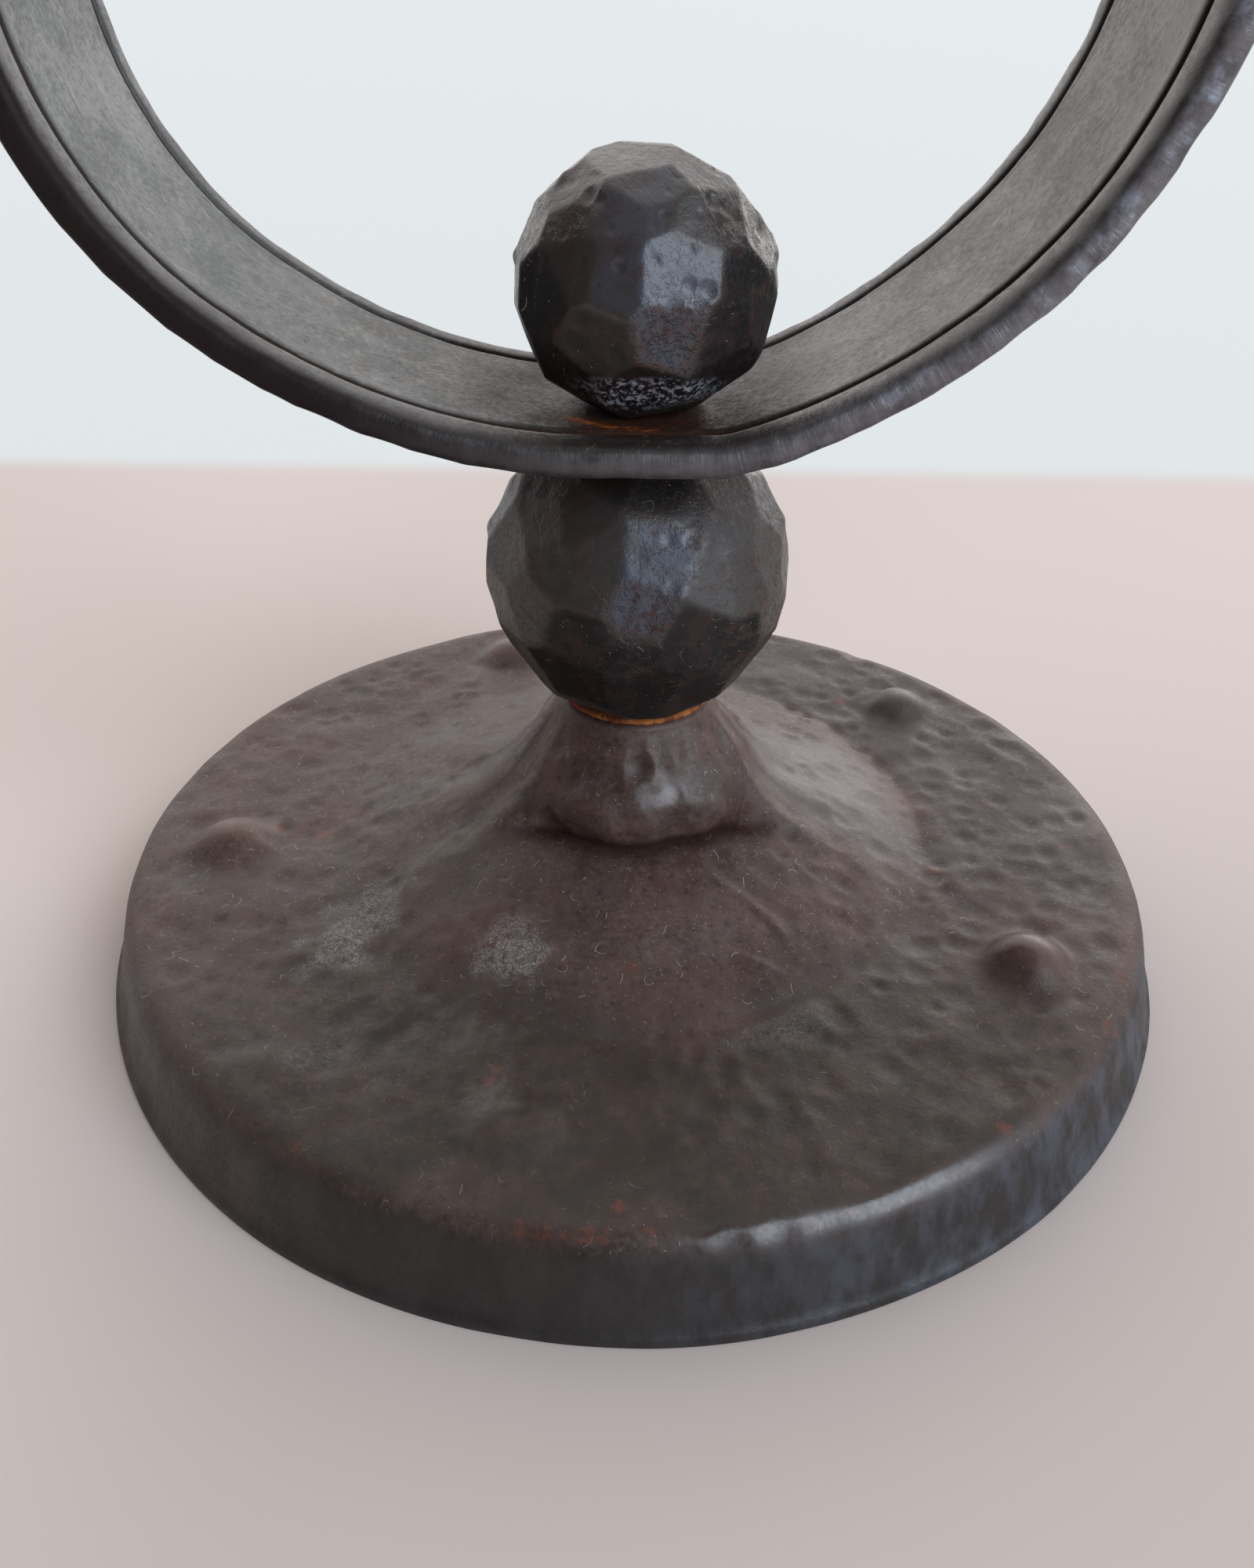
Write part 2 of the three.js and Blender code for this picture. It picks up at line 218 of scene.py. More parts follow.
foot_steps = 480
foot_outer_spacing = 0.5
foot_inner_spacing = 2.2
crease_radius = 34.5
boss_circle = 46.5
boss_angles = [math.radians(angle) for angle in (-29.2, 40, 112, 184, 256)]
foot_outer_line = [
    (60.0, 0.0), (59.98, 0.8), (59.5, 1.5), (59.05, 3.4), (58.5, 5.4), (58.1, 7.2), (57.5, 8.9),
    (56.4, 10.1), (54.8, 10.65), (52.0, 10.85), (48.0, 10.95), (44.0, 11.05), (40.0, 11.2),
    (36.6, 11.27), (35.1, 11.33), (34.1, 11.6), (31.5, 12.55), (28.0, 13.7), (24.0, 14.95),
    (20.0, 16.25), (16.8, 17.25),
]
neck_front_line = [
    (14.6, 17.85), (13.6, 18.08), (13.2, 18.3), (13.22, 18.7), (13.55, 19.5), (13.8, 20.8),
    (13.35, 22.5), (12.2, 24.2), (10.8, 25.9), (9.5, 27.5), (8.6, 28.9), (8.35, 30.2),
]
bell_side_line = foot_outer_line[:-4] + [
    (28.2, 13.8), (24.2, 15.2), (20.6, 16.65), (18.2, 17.8), (17.3, 18.35), (16.6, 18.85), (15.9, 19.4),
    (15.3, 19.95), (14.7, 20.6), (14.0, 21.4), (13.0, 22.8), (11.9, 24.4), (10.75, 26.1), (9.8, 27.5),
    (8.95, 28.85), (8.35, 30.2),
]
neck_end_line = [(7.0, 30.2), (5.4, 30.2), (4.0, 30.2), (2.8, 30.2)]
foot_inner_line = [
    (2.8, 28.2), (6.4, 28.0), (6.6, 26.0), (9.0, 23.2), (11.2, 20.2), (11.5, 17.8), (12.8, 16.3),
    (20.0, 13.95), (28.0, 11.4), (34.6, 9.35), (40.0, 9.15), (46.0, 9.0), (52.0, 8.8),
    (54.6, 8.3), (55.7, 7.2), (56.6, 4.6), (57.6, 1.2), (58.0, 0.0),
]


def step_counts(knots, spacing):
    """How many steps of about a spacing fit between each two knots."""
    return [max(1, round(math.dist(a, b) / spacing)) for a, b in zip(knots, knots[1:])]


def smooth_line(knots, spacing, counts=None):
    """Points about a spacing apart on a smooth line through knots, or with counts of steps between them."""
    counts = counts or step_counts(knots, spacing)
    knots = np.array(knots, float)
    padded = np.vstack([2 * knots[0] - knots[1], knots, 2 * knots[-1] - knots[-2]])
    pieces = []
    for count, a, b, c, d in zip(counts, padded, padded[1:], padded[2:], padded[3:]):
        t = np.arange(count)[:, None] / count
        pieces.append(
            0.5 * (2 * b + (c - a) * t + (2 * a - 5 * b + 4 * c - d) * t**2 + (3 * b - a - 3 * c + d) * t**3)
        )
    return np.vstack([*pieces, knots[-1:]])


def welded(holes=False):
    """Merges the doubled points of the piece in hand, fills holes if asked, and turns the faces outwards."""
    bpy.ops.object.mode_set(mode="EDIT")
    bpy.ops.mesh.select_all(action="SELECT")
    bpy.ops.mesh.remove_doubles(threshold=0.002 * mm)
    if holes:
        bpy.ops.mesh.fill_holes(sides=0)
    bpy.ops.mesh.normals_make_consistent(inside=False)
    bpy.ops.object.mode_set(mode="OBJECT")


def turned(name, line, steps, closed=True):
    """Lays (radius, height) points in mm as edges, and turns them about the rod into a shell."""
    bpy.ops.object.select_all(action="DESELECT")
    bpy.ops.mesh.primitive_circle_add(vertices=len(line), fill_type="NOTHING")
    piece = bpy.context.object
    piece.name = name
    piece.data.name = name
    for vertex, (radius, height) in zip(piece.data.vertices, line):
        vertex.co = (radius * mm, 0, height * mm)
    if not closed:
        ends = {0, len(line) - 1}
        for edge in piece.data.edges:
            edge.select = set(edge.vertices) == ends
        for vertex in piece.data.vertices:
            vertex.select = vertex.index in ends
        bpy.ops.object.mode_set(mode="EDIT")
        bpy.ops.mesh.select_mode(type="EDGE")
        bpy.ops.mesh.delete(type="EDGE")
        bpy.ops.mesh.select_mode(type="VERT")
        bpy.ops.object.mode_set(mode="OBJECT")
    lathe = piece.modifiers.new("lathe", "SCREW")
    lathe.angle = 2 * math.pi
    lathe.steps = steps
    lathe.render_steps = steps
    bpy.ops.object.modifier_apply(modifier=lathe.name)
    welded()
    bpy.ops.object.shade_smooth()
    return piece


def read_points(piece):
    """Where the piece's points are, in mm."""
    points = np.empty(3 * len(piece.data.vertices))
    piece.data.vertices.foreach_get("co", points)
    return points.reshape(-1, 3) / mm


def write_points(piece, points):
    piece.data.vertices.foreach_set("co", (np.asarray(points) * mm).ravel())
    piece.data.update()


def read_normals(piece):
    normals = np.empty(3 * len(piece.data.vertices))
    piece.data.vertex_normals.foreach_get("vector", normals)
    return normals.reshape(-1, 3)


def write_mark(piece, name, values):
    """Keeps a number for each point, which the finish reads."""
    mark = piece.data.attributes.new(name=name, type="FLOAT", domain="POINT")
    mark.data.foreach_set("value", np.asarray(values, np.float32))


def waves(points, size, seed):
    """Soft unevenness, mostly between -1 and 1, with waves of about the size in mm."""
    dice = np.random.default_rng(seed)
    total = np.zeros(len(points))
    for _ in range(24):
        way = dice.normal(size=3)
        way *= 2 * math.pi / (size * dice.uniform(0.7, 1.5) * np.linalg.norm(way))
        total += np.sin(points @ way + dice.uniform(0, 2 * math.pi))
    return total / 5.5


def soft_step(value, low, high):
    """Goes softly from 0 to 1 while the value goes from low to high."""
    share = np.clip((value - low) / (high - low), 0, 1)
    return share * share * (3 - 2 * share)


def between(value, low, full, last, gone):
    """Rises softly from 0 at low to 1 when full, and falls again from last until it is gone."""
    return soft_step(value, low, full) * (1 - soft_step(value, last, gone))


def bell(value, width):
    """1 at 0, and falls away softly on both sides."""
    return np.exp(-((value / width) ** 2))


def dented(piece, blows, face=None, softness=1):
    """Hammers blows of (x, y, z, radius, depth) in mm into a piece, and tells how deep each point went.
    Where blows meet, the deeper one counts, so that a ridge stays between them. Softness rounds the edges."""
    points = read_points(piece)
    depths = np.zeros(len(points))
    for x, y, z, radius, depth in blows:
        near = np.nonzero(
            (np.abs(points[:, 0] - x) < radius) & (np.abs(points[:, 1] - y) < radius)
            & (np.abs(points[:, 2] - z) < radius)
        )[0]
        away = ((points[near] - (x, y, z)) ** 2).sum(1) / radius**2
        depths[near] = np.maximum(depths[near], depth * np.clip(1 - away, 0, 1) ** softness)
    if face is not None:
        depths *= face
    write_points(piece, points - read_normals(piece) * depths[:, None])
    return depths


foot_front_line = foot_outer_line + neck_front_line
foot_front = smooth_line(foot_front_line, foot_outer_spacing)
foot_side = smooth_line(bell_side_line, foot_outer_spacing, step_counts(foot_front_line, foot_outer_spacing))
neck_end = smooth_line(neck_end_line, 0.9)
foot_inner = smooth_line(foot_inner_line, foot_inner_spacing)
foot_front_all = np.vstack([foot_front, neck_end, foot_inner])
foot_side_all = np.vstack([foot_side, neck_end, foot_inner])

foot = turned("hammered_foot", foot_front_all, foot_steps)
points = read_points(foot)
radius = np.hypot(points[:, 0], points[:, 1])
azimuth = np.arctan2(points[:, 0], -points[:, 1])
row = np.array([
    np.argmin(np.abs(foot_front_all[:, 0] - r) + np.abs(foot_front_all[:, 1] - z))
    for r, z in zip(radius, points[:, 2])
])
outer = (row < len(foot_front) + len(neck_end)).astype(float)

# The neck's foot is undercut in front and runs softly into the cone at the sides and the back
frontness = soft_step(np.cos(azimuth - 0.07), 0.44, 0.80)[:, None]
profile = frontness * foot_front_all[row] + (1 - frontness) * foot_side_all[row]
radius, height = profile[:, 0], profile[:, 1]

# The crease at the cone's foot wanders in and out
flank = between(radius, 17, 34, 37, 54)
crease_shift = 1.6 * np.cos(azimuth - math.radians(20)) - 0.7 * np.cos(2 * azimuth)
radius = radius - flank * crease_shift

# So does the neck's foot line, and the neck is lumpy all round
neck_foot_turns = np.array([-180, -140, -95, -63, -48, -34, -20, -4, 13, 39, 64, 95, 140, 180])
neck_foot_shifts = np.array([0, 0, 0.1, 0.2, 0.3, -0.4, -0.5, 0.1, -1.0, -0.5, 0.1, 0.1, 0, 0])
neck_foot = between(height, 16.9, 17.9, 20, 25) * outer
turn_weights = bell(np.degrees(azimuth)[:, None] - neck_foot_turns, 15) + 1e-9
radius = radius + neck_foot * (turn_weights @ neck_foot_shifts) / turn_weights.sum(1)
neck_zone = between(height, 17.2, 19.5, 27.8, 30) * outer
around = np.stack([11 * np.cos(azimuth), 11 * np.sin(azimuth), height], 1)
neck_lumps = 0.36 * waves(around, 8, seed=4) + 0.12 * waves(around, 3.6, seed=5)
neck_lumps += 0.03 * waves(around, 1.9, seed=7)
radius = radius + neck_zone * neck_lumps
neck_crease = bell(height - 18.3, 0.5) * frontness[:, 0] * outer
rim_zone = soft_step(radius, 54, 58.5)
radius = radius - rim_zone * (0.16 + 0.14 * waves(points * (1, 1, 0), 34, seed=6))
points = np.stack([radius * np.sin(azimuth), -radius * np.cos(azimuth), height], 1)

# The flat and the cone are uneven, and five bosses are punched up from below
boss_heights = (2.3, 1.9, 1.9, 1.9, 0.75)
boss_places = [(boss_circle * math.cos(angle), boss_circle * math.sin(angle)) for angle in boss_angles]
boss_flat = 2.1
boss_reach = 5.2
mound_height = 0.5
mound_reach = 8.2
sheet = between(radius, 15, 22, 54, 57.5)
level_points = points * (1, 1, 0)
rise = 0.16 * waves(level_points, 24, seed=8) + 0.11 * waves(level_points, 11, seed=9)
rise += 0.045 * waves(level_points, 5, seed=10)
for number, (boss_place, boss_height) in enumerate(zip(boss_places, boss_heights)):
    away = np.hypot(*(points[:, :2] - boss_place).T) * (1 + 0.07 * waves(level_points, 6, seed=14 + number))
    mound = 0.5 + 0.5 * np.cos(math.pi * np.clip(away / mound_reach, 0, 1))
    dome = 1 - 0.16 * np.clip(away / boss_flat, 0, 1) ** 2
    rise += mound_height * mound + boss_height * dome * (1 - soft_step(away, boss_flat - 0.6, boss_reach))
    rise -= 0.1 * boss_height * bell(away - 5.8, 1.2)
# The crease is beaten in deeper at the right, and broad blows left two soft ridges on the cone's front
crease_away = radius - crease_radius + crease_shift
rise -= 0.26 * soft_step(np.cos(azimuth - math.radians(75)), -0.1, 0.7) * bell(crease_away, 0.8)
points[:, 2] += sheet * rise
for ridge_line in (
    [(0.5, -15.4), (4, -15.5), (8, -16.4), (12, -18.6), (15.3, -21.9)],
    [(0.5, -23.4), (3.2, -24.1), (8, -24.4), (11, -25.3), (15, -26.6)],
):
    ridge_points = smooth_line(ridge_line, 0.5)
    apart = np.full(len(points), 99.0)
    for x, y in ridge_points:
        apart = np.minimum(apart, np.hypot(points[:, 0] - x, points[:, 1] - y))
    points[:, 2] += (0.26 * bell(apart, 0.7) - 0.16 * bell(apart, 2.6)) * outer

# Folds run down the cone from the neck, where the sheet was gathered
gather = between(radius, 8.4, 10.5, 15, 28) * outer
gather *= 1 - 0.85 * frontness[:, 0]
folds = waves(np.stack([16 * np.cos(azimuth), 16 * np.sin(azimuth), 0.05 * radius], 1), 5.5, seed=12)
points[:, 2] += gather * 0.55 * np.abs(folds) ** 0.8 * np.sign(folds)
write_points(foot, points)


def rings_of_blows(dice, radii, height_at, gap, size, depth, strength=None):
    """Blows in rough rings about the middle, as the sheet is turned under the hammer."""
    blows = []
    for ring in radii:
        count = max(6, round(2 * math.pi * ring / gap))
        start = dice.uniform(0, 2 * math.pi)
        for i in range(count):
            r = ring + dice.normal(0, 0.32 * gap)
            turn = start + 2 * math.pi * (i + dice.normal(0, 0.32)) / count
            x, y = r * math.cos(turn), r * math.sin(turn)
            share = strength(x, y) if strength else 1
            blows.append((
                x, y, height_at(r), size * dice.uniform(0.6, 1.35), share * depth * dice.uniform(0.1, 1.4),
            ))
    return blows


foot_dice = np.random.default_rng(21)
foot_heights = foot_front[foot_front[:, 0] < 57.5][::-1]


def foot_height_at(r):
    """How high the sheet's top face is at a radius."""
    return float(np.interp(r, foot_heights[:, 0], foot_heights[:, 1]))


def blow_strength(x, y):
    """The flat is hammered hardest at the right and the back, and the cone's front least."""
    turn = math.atan2(x, -y)
    r = math.hypot(x, y)
    forward = float(soft_step(math.cos(turn + 0.1), 0.45, 0.95))
    back = float(soft_step(-math.cos(turn - 0.8), -0.2, 0.8))
    return 1.1 - (0.75 if r < 34 else 0.3) * forward + 0.1 * (x < -20) - 0.45 * back


# A small ball face leaves dimples everywhere, and a broad one left a few large soft hollows on the cone
foot_blows = []
for rings, gap, size, depth in (
    (np.arange(15.5, 54.5, 2.5), 2.8, 1.9, 0.30), (np.arange(17, 54, 6.5), 10, 4.6, 0.2),
):
    foot_blows += rings_of_blows(foot_dice, rings, foot_height_at, gap, size, depth, blow_strength)
for x, y, size, depth in (
    (-6.5, -22.0, 4.0, 0.22), (13.5, -17.0, 4.4, 0.2), (18.5, -24.5, 4.6, 0.22), (-19.5, -15.0, 4.6, 0.28),
    (-9.0, -30.5, 4.4, 0.22), (-17.0, -25.5, 4.4, 0.24), (-2.5, -18.5, 3.0, 0.2), (-11.5, -17.5, 3.2, 0.26),
    (22.0, -14.0, 3.4, 0.3), (12.0, -30.5, 3.8, 0.2), (-24.5, -9.0, 3.6, 0.3), (1.0, -29.0, 3.2, 0.16),
):
    foot_blows.append((x, y, foot_height_at(math.hypot(x, y)), size, depth))
# Blows that show on the neck's front, then others all round it
neck_blows = [
    (0.3, -10.5, 26.6, 1.8, 0.6), (4.4, -11.4, 24.2, 1.8, 0.2), (2.4, -12.0, 24.0, 1.5, 0.18),
    (-3.6, -10.6, 25.4, 2.6, 0.42), (-6.6, -9.0, 24.8, 2.8, 0.40), (7.6, -8.9, 25.2, 2.4, 0.36),
    (-11.9, -7.4, 19.8, 2.2, 0.55), (-13.0, -4.4, 18.6, 2.0, 0.4), (-8.6, -5.8, 27.0, 2.2, 0.35),
    (5.2, -8.4, 27.4, 1.8, 0.3), (10.6, -8.2, 22.2, 2.2, 0.4), (-0.6, -12.9, 21.6, 2.2, 0.22),
    (6.9, -11.6, 21.8, 2.0, 0.24), (1.4, -12.2, 22.6, 1.2, 0.14), (5.6, -11.2, 25.6, 1.2, 0.16),
]
for i in range(120):
    turn = foot_dice.uniform(0, 2 * math.pi)
    high = foot_dice.uniform(18.8, 29.5)
    neck_radius = float(np.interp(high, foot_front[-60:, 1], foot_front[-60:, 0]))
    neck_blows.append((
        neck_radius * math.cos(turn), neck_radius * math.sin(turn), high,
        foot_dice.uniform(1.0, 2.6), foot_dice.uniform(0.04, 0.18),
    ))
# Dents in the rim's fold, and soft flats down its side
rim_blows = [(12.6, -56.6, 9.7, 3.0, 0.4), (16.8, -55.4, 9.5, 3.2, 0.3), (8.4, -57.2, 9.3, 2.6, 0.3)]
rim_line = foot_outer_line[:8]
for i in range(120):
    turn = foot_dice.uniform(0, 2 * math.pi)
    high = foot_dice.uniform(2.5, 9.6)
    rim_radius = float(np.interp(high, [z for _, z in rim_line], [r for r, _ in rim_line]))
    rim_blows.append((
        rim_radius * math.cos(turn), rim_radius * math.sin(turn), high,
        foot_dice.uniform(2.6, 6.5), foot_dice.uniform(0.03, 0.1),
    ))
hollow = dented(foot, foot_blows + neck_blows + rim_blows, outer, softness=1.25)
write_mark(foot, "hollow", hollow / 0.22)
write_mark(foot, "crease", neck_crease)

# Where the skin differs: rust flecks, whitish dust, greenish black stains, and olive brown ones; and where
# light and shade are painted: lighter on the cone's right flank, darker on the flat at the right and back
points = read_points(foot)
fleck = np.zeros(len(points))
for x, y, size in (
    (-34.4, -27.8, 0.8), (-24.5, -27.6, 0.6), (-27.8, -29.4, 0.4), (-41.6, -0.2, 1.4), (-36.1, -1.4, 1.4),
    (-39, -0.6, 0.9), (-32.3, 14.6, 0.9), (-12.8, -38.3, 0.9), (-13.4, -40.0, 1.1), (-1.3, -53.6, 1.0),
    (-9.6, -55.6, 1.1), (-7.6, -55.9, 1.0), (-5.6, -56.1, 0.8), (-4.0, -56.2, 1.2), (-2.5, -56.3, 0.9),
    (1.4, -56.2, 1.1), (-0.3, -26.9, 0.9), (34.0, -7.0, 1.2), (49.7, -2.1, 0.8), (41.4, -14.7, 0.6),
    (33.4, -44.5, 1.3), (18.4, -53.4, 0.8), (47, -31, 1.5), (50, -24, 1.2), (28, 31, 1.1), (-20, 41, 1.3),
    (-47, 26, 1.2), (9, 50, 1.2), (-30, -47.5, 1.1),
):
    fleck = np.maximum(fleck, bell(np.hypot(points[:, 0] - x, points[:, 1] - y), 1.1 * size))
on_side = soft_step(np.hypot(points[:, 0], points[:, 1]), 55.8, 56.6)
fleck *= 1 - on_side * (1 - bell(points[:, 2] - 9.6, 0.7))
level_points = points * (1, 1, 0)
dust_mark = np.zeros(len(points))
for x, y, along_x, along_y, long, wide, thick in (
    (-29.2, -18.4, 0.45, 0.89, 8.0, 4.6, 1), (-12.6, -24.2, 0.75, -0.66, 4.8, 4.1, 1),
    (-30.2, -36.7, 1, 0, 4.4, 2.6, 0.3), (2, -23, 1, 0, 9, 5, 0.12), (14, -33, 0.9, 0.44, 9, 2.4, 0.3),
):
    off_x, off_y = points[:, 0] - x, points[:, 1] - y
    far = np.hypot((off_x * along_x + off_y * along_y) / long, (off_y * along_x - off_x * along_y) / wide)
    far *= 1 + 0.22 * waves(level_points, 3.2, seed=16)
    dust_mark = np.maximum(dust_mark, thick * (1 - soft_step(far, 0.4, 1.05)))
wide = np.hypot(points[:, 0], points[:, 1])
plateau = between(wide, 27, 39, 55.5, 57.5)
forward = soft_step(-points[:, 1] / np.maximum(wide, 1), 0.35, 0.9)
stain = plateau * forward * np.clip(0.9 + 0.3 * waves(level_points, 9, seed=17), 0, 1)
turn_seen = np.degrees(np.arctan2(points[:, 0], -points[:, 1]))
spot_away = np.sqrt(((points - (3.8, -11.6, 24.4)) ** 2).sum(1))
fold_shine = between(wide, 54.4, 56.2, 56.6, 58.0)
fold_shine *= between(turn_seen, -20, 16, 26, 48)
neck_shine = 0.55 * bell(spot_away, 1.7) + 0.14 * bell(spot_away, 4.0)
boss_shine = np.zeros(len(points))
for boss_place in boss_places:
    boss_shine = np.maximum(boss_shine, 0.4 * bell(np.hypot(*(points[:, :2] - boss_place).T), 3.2))
crease_dull = bell(turn_seen - 52, 11) * bell(points[:, 2] - 19.6, 1.8)
polished = neck_shine + 0.55 * fold_shine + boss_shine - 0.8 * crease_dull
# The flat at the right and back is painted darker and the cone's right flank lighter, as painted shade and
# painted light
dusky = soft_step(turn_seen, 50, 100) * between(wide, 34, 37, 54, 57)
flank_painted_light = between(turn_seen, 60, 96, 110, 140)
flank_painted_light *= between(wide, 12, 16, 29, 35)
olive = bell(points[:, 0] + 19, 9) * bell(points[:, 1] + 15, 7)
for mark, values in (
    ("fleck", fleck), ("dust", dust_mark), ("stain", stain), ("polished", polished),
    ("worn", 2.5 * boss_shine), ("dusky", dusky), ("pale", flank_painted_light), ("olive", olive),
):
    write_mark(foot, mark, values * outer)


def finish_piece(piece, replaced, finish, lint_way=(0, 0, 1)):
    """Gives a finished piece its finish and its body, and hides the solids that it stands for.
    Lint stays on faces that look its way."""
    write_mark(piece, "lint way", read_normals(piece) @ np.array(lint_way))
    piece.data.materials.clear()
    piece.data.materials.append(finish)
    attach(piece, "root")
    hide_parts(*replaced)


def new_group(name, inputs, outputs):
    """A shader group with number and vector inputs, and number outputs."""
    group = bpy.data.node_groups.new(name, "ShaderNodeTree")
    for label, kind, value in inputs:
        socket = group.interface.new_socket(label, in_out="INPUT", socket_type="NodeSocket" + kind)
        if value is not None:
            socket.default_value = value
    for label in outputs:
        group.interface.new_socket(label, in_out="OUTPUT", socket_type="NodeSocketFloat")
    entry = group.nodes.new("NodeGroupInput")
    leave = group.nodes.new("NodeGroupOutput")
    return group, {out.name: Value(out) for out in entry.outputs}, leave


def noise(vector, size, detail=2.0, roughness=0.5):
    """Noise with lumps of about the size in mm."""
    sockets = {"Scale": 1 / (size * mm), "Detail": detail, "Roughness": roughness}
    return place(vector.tree, "TexNoise", Vector=vector, **sockets)["Fac"]


# Cloudy patches, fine speckle and a slightly rough skin, as old iron has
patina_group, patina_in, patina_out = new_group(
    "old iron skin", [("Vector", "Vector", None)], ["Cloud", "Speckle", "Skin"]
)
patina_fine = noise(patina_in["Vector"], 0.55, 3, 0.65)
patina_cloud = noise(patina_in["Vector"], 9, 4, 0.6)
patina_skin = noise(patina_in["Vector"], 0.28, 3, 0.6) + patina_fine * 0.8
feed(patina_out, Cloud=patina_cloud.fade(0.35, 0.65), Speckle=patina_fine.fade(0.38, 0.66), Skin=patina_skin)

# Small spots of rust, in loose clusters
rust_group, rust_in, rust_out = new_group(
    "rust spots", [("Vector", "Vector", None), ("Amount", "Float", 0.5)], ["Mask"]
)
rust_total = noise(rust_in["Vector"], 1.1, 2, 0.6) + noise(rust_in["Vector"], 12, 1) * 0.55
feed(rust_out, Mask=(rust_total + rust_in["Amount"] * 0.3).fade(1.17, 1.34))

# Pale fibres of lint and specks of dust, each in a cell of its own. A fibre is bent and turned at random
lint_group, lint_in, lint_out = new_group(
    "lint", [("Vector", "Vector", None), ("Share", "Float", 0.3)], ["Mask"]
)


def scattered(per_metre):
    """Cells at random in the plane, and three random numbers for each."""
    cells = place(
        lint_group, "TexVoronoi", {"voronoi_dimensions": "2D"}, Vector=lint_in["Vector"], Scale=per_metre
    )
    return cells, place(lint_group, "SeparateColor", Color=cells["Color"])


lint_cells, lint_random = scattered(590)
lint_away = lint_in["Vector"].math("SUBTRACT", lint_cells["Position"], kind="VectorMath")
lint_turn = lint_random["Red"] * (2 * math.pi)
lint_turned = place(
    lint_group, "VectorRotate", {"rotation_type": "Z_AXIS"}, Vector=lint_away, Angle=lint_turn
)["Vector"]
lint_local = place(lint_group, "SeparateXYZ", Vector=lint_turned)
lint_bend = lint_local["X"] * lint_local["X"] * ((lint_random["Green"] - 0.5) * 5000)
lint_thin = abs(lint_local["Y"] - lint_bend).fade(0.008 * mm, 0.042 * mm, 1, 0)
lint_reach = (lint_random["Red"] * 17.3).math("FRACT").math("POWER", 3) * (0.75 * mm)
lint_short = (abs(lint_local["X"]) - lint_reach).fade(0, 0.06 * mm, 1, 0)
lint_there = lint_random["Blue"].math("LESS_THAN", lint_in["Share"])
lint_faint = (lint_random["Green"] * 23.7).math("FRACT")
speck_cells, speck_random = scattered(1100)
speck_there = speck_random["Blue"].math("LESS_THAN", lint_in["Share"] * 0.5)
lint_speck = speck_cells["Distance"].fade(0.03, 0.075, 1, 0) * speck_there * speck_random["Red"]
feed(lint_out, Mask=(lint_thin * lint_short * (lint_there * lint_faint)).math("MAXIMUM", lint_speck))


class Iron:
    """Blackened iron with patina, spots of rust, and lint that lies in the plane of two axes."""

    def __init__(
        self, name, dark, light, rough, metal=0, rust=0.3, lint=0.2, flat="XY", skin=0.6, bend=1.8, deep=0.45
    ):
        self.material, self.shader, self.where = new_finish(name)
        self.tree = self.where.tree
        self.split = place(self.tree, "SeparateXYZ", Vector=self.where)
        patina = self.group(patina_group, Vector=self.where)
        rusted = self.group(rust_group, Vector=self.where, Amount=rust)["Mask"]
        level = place(self.tree, "CombineXYZ", X=self.split[flat[0]], Y=self.split[flat[1]])["Vector"]
        linty = self.group(lint_group, Vector=level, Share=lint)["Mask"]
        linty *= self.mark("lint way").fade(0.35, 0.65)
        self.colour = (patina["Cloud"] * 0.55 + patina["Speckle"] * 0.45).blend(dark, light)
        self.stain(self.mark("hollow").fade(0.25, 1.1, 0, deep), [0.6 * part for part in dark])
        self.stain(rusted * 0.8, (0.17, 0.045, 0.018))
        self.stain(linty * 0.8, (0.60, 0.57, 0.53))
        self.roughness = (patina["Cloud"] + patina["Speckle"]).fade(0.2, 1.8, rough - 0.07, rough + 0.1)
        self.roughness += rusted * 0.25
        self.skin = patina["Skin"]
        self.reliefs = [(self.skin, skin, 0.05)]
        feed(self.shader, Metallic=metal, IOR=bend)

    def group(self, group, **sockets):
        return place(self.tree, "Group", {"node_tree": group}, **sockets)

    def mark(self, name):
        """Reads a number that is kept for each point."""
        return place(self.tree, "Attribute", {"attribute_name": name})["Fac"]

    def stain(self, share, colour):
        """Lays a colour over the ones before, by a share that changes over the surface."""
        self.colour = share.blend(self.colour, colour)

    def close(self):
        """Joins colour, roughness and reliefs of (height, strength, depth in mm) to the shader."""
        normal = {}
        for height, strength, depth in self.reliefs:
            normal = place(self.tree, "Bump", Height=height, Strength=strength, Distance=depth * mm, **normal)
        feed(self.shader, Base_Color=self.colour, Roughness=self.roughness, **normal)
        return self.material


foot_iron = Iron(
    "brown foot iron", (0.053, 0.030, 0.024), (0.110, 0.067, 0.055), rough=0.52, rust=0.1, lint=0.9, bend=1.5,
    deep=0.35,
)
foot_where = foot_iron.where

# The patina is redder in places and greyer in others, with fine pits everywhere
foot_pits = noise(foot_where, 1.0, 4, 0.62)
foot_rubbed = foot_iron.mark("polished") * 0.38
foot_kept = foot_rubbed.fade(0.02, 0.14, 1, 0.1)
foot_iron.stain(noise(foot_where, 13, 4, 0.6).fade(0.48, 0.66, 0, 0.45), (0.105, 0.046, 0.034))
foot_iron.stain(noise(foot_where, 7, 4, 0.65).fade(0.42, 0.28, 0, 0.25), (0.064, 0.057, 0.058))
foot_iron.stain(foot_kept * foot_pits.fade(0.44, 0.34, 0, 0.65), (0.030, 0.017, 0.014))
foot_iron.stain(foot_kept * foot_pits.fade(0.56, 0.68, 0, 0.4), (0.155, 0.102, 0.087))
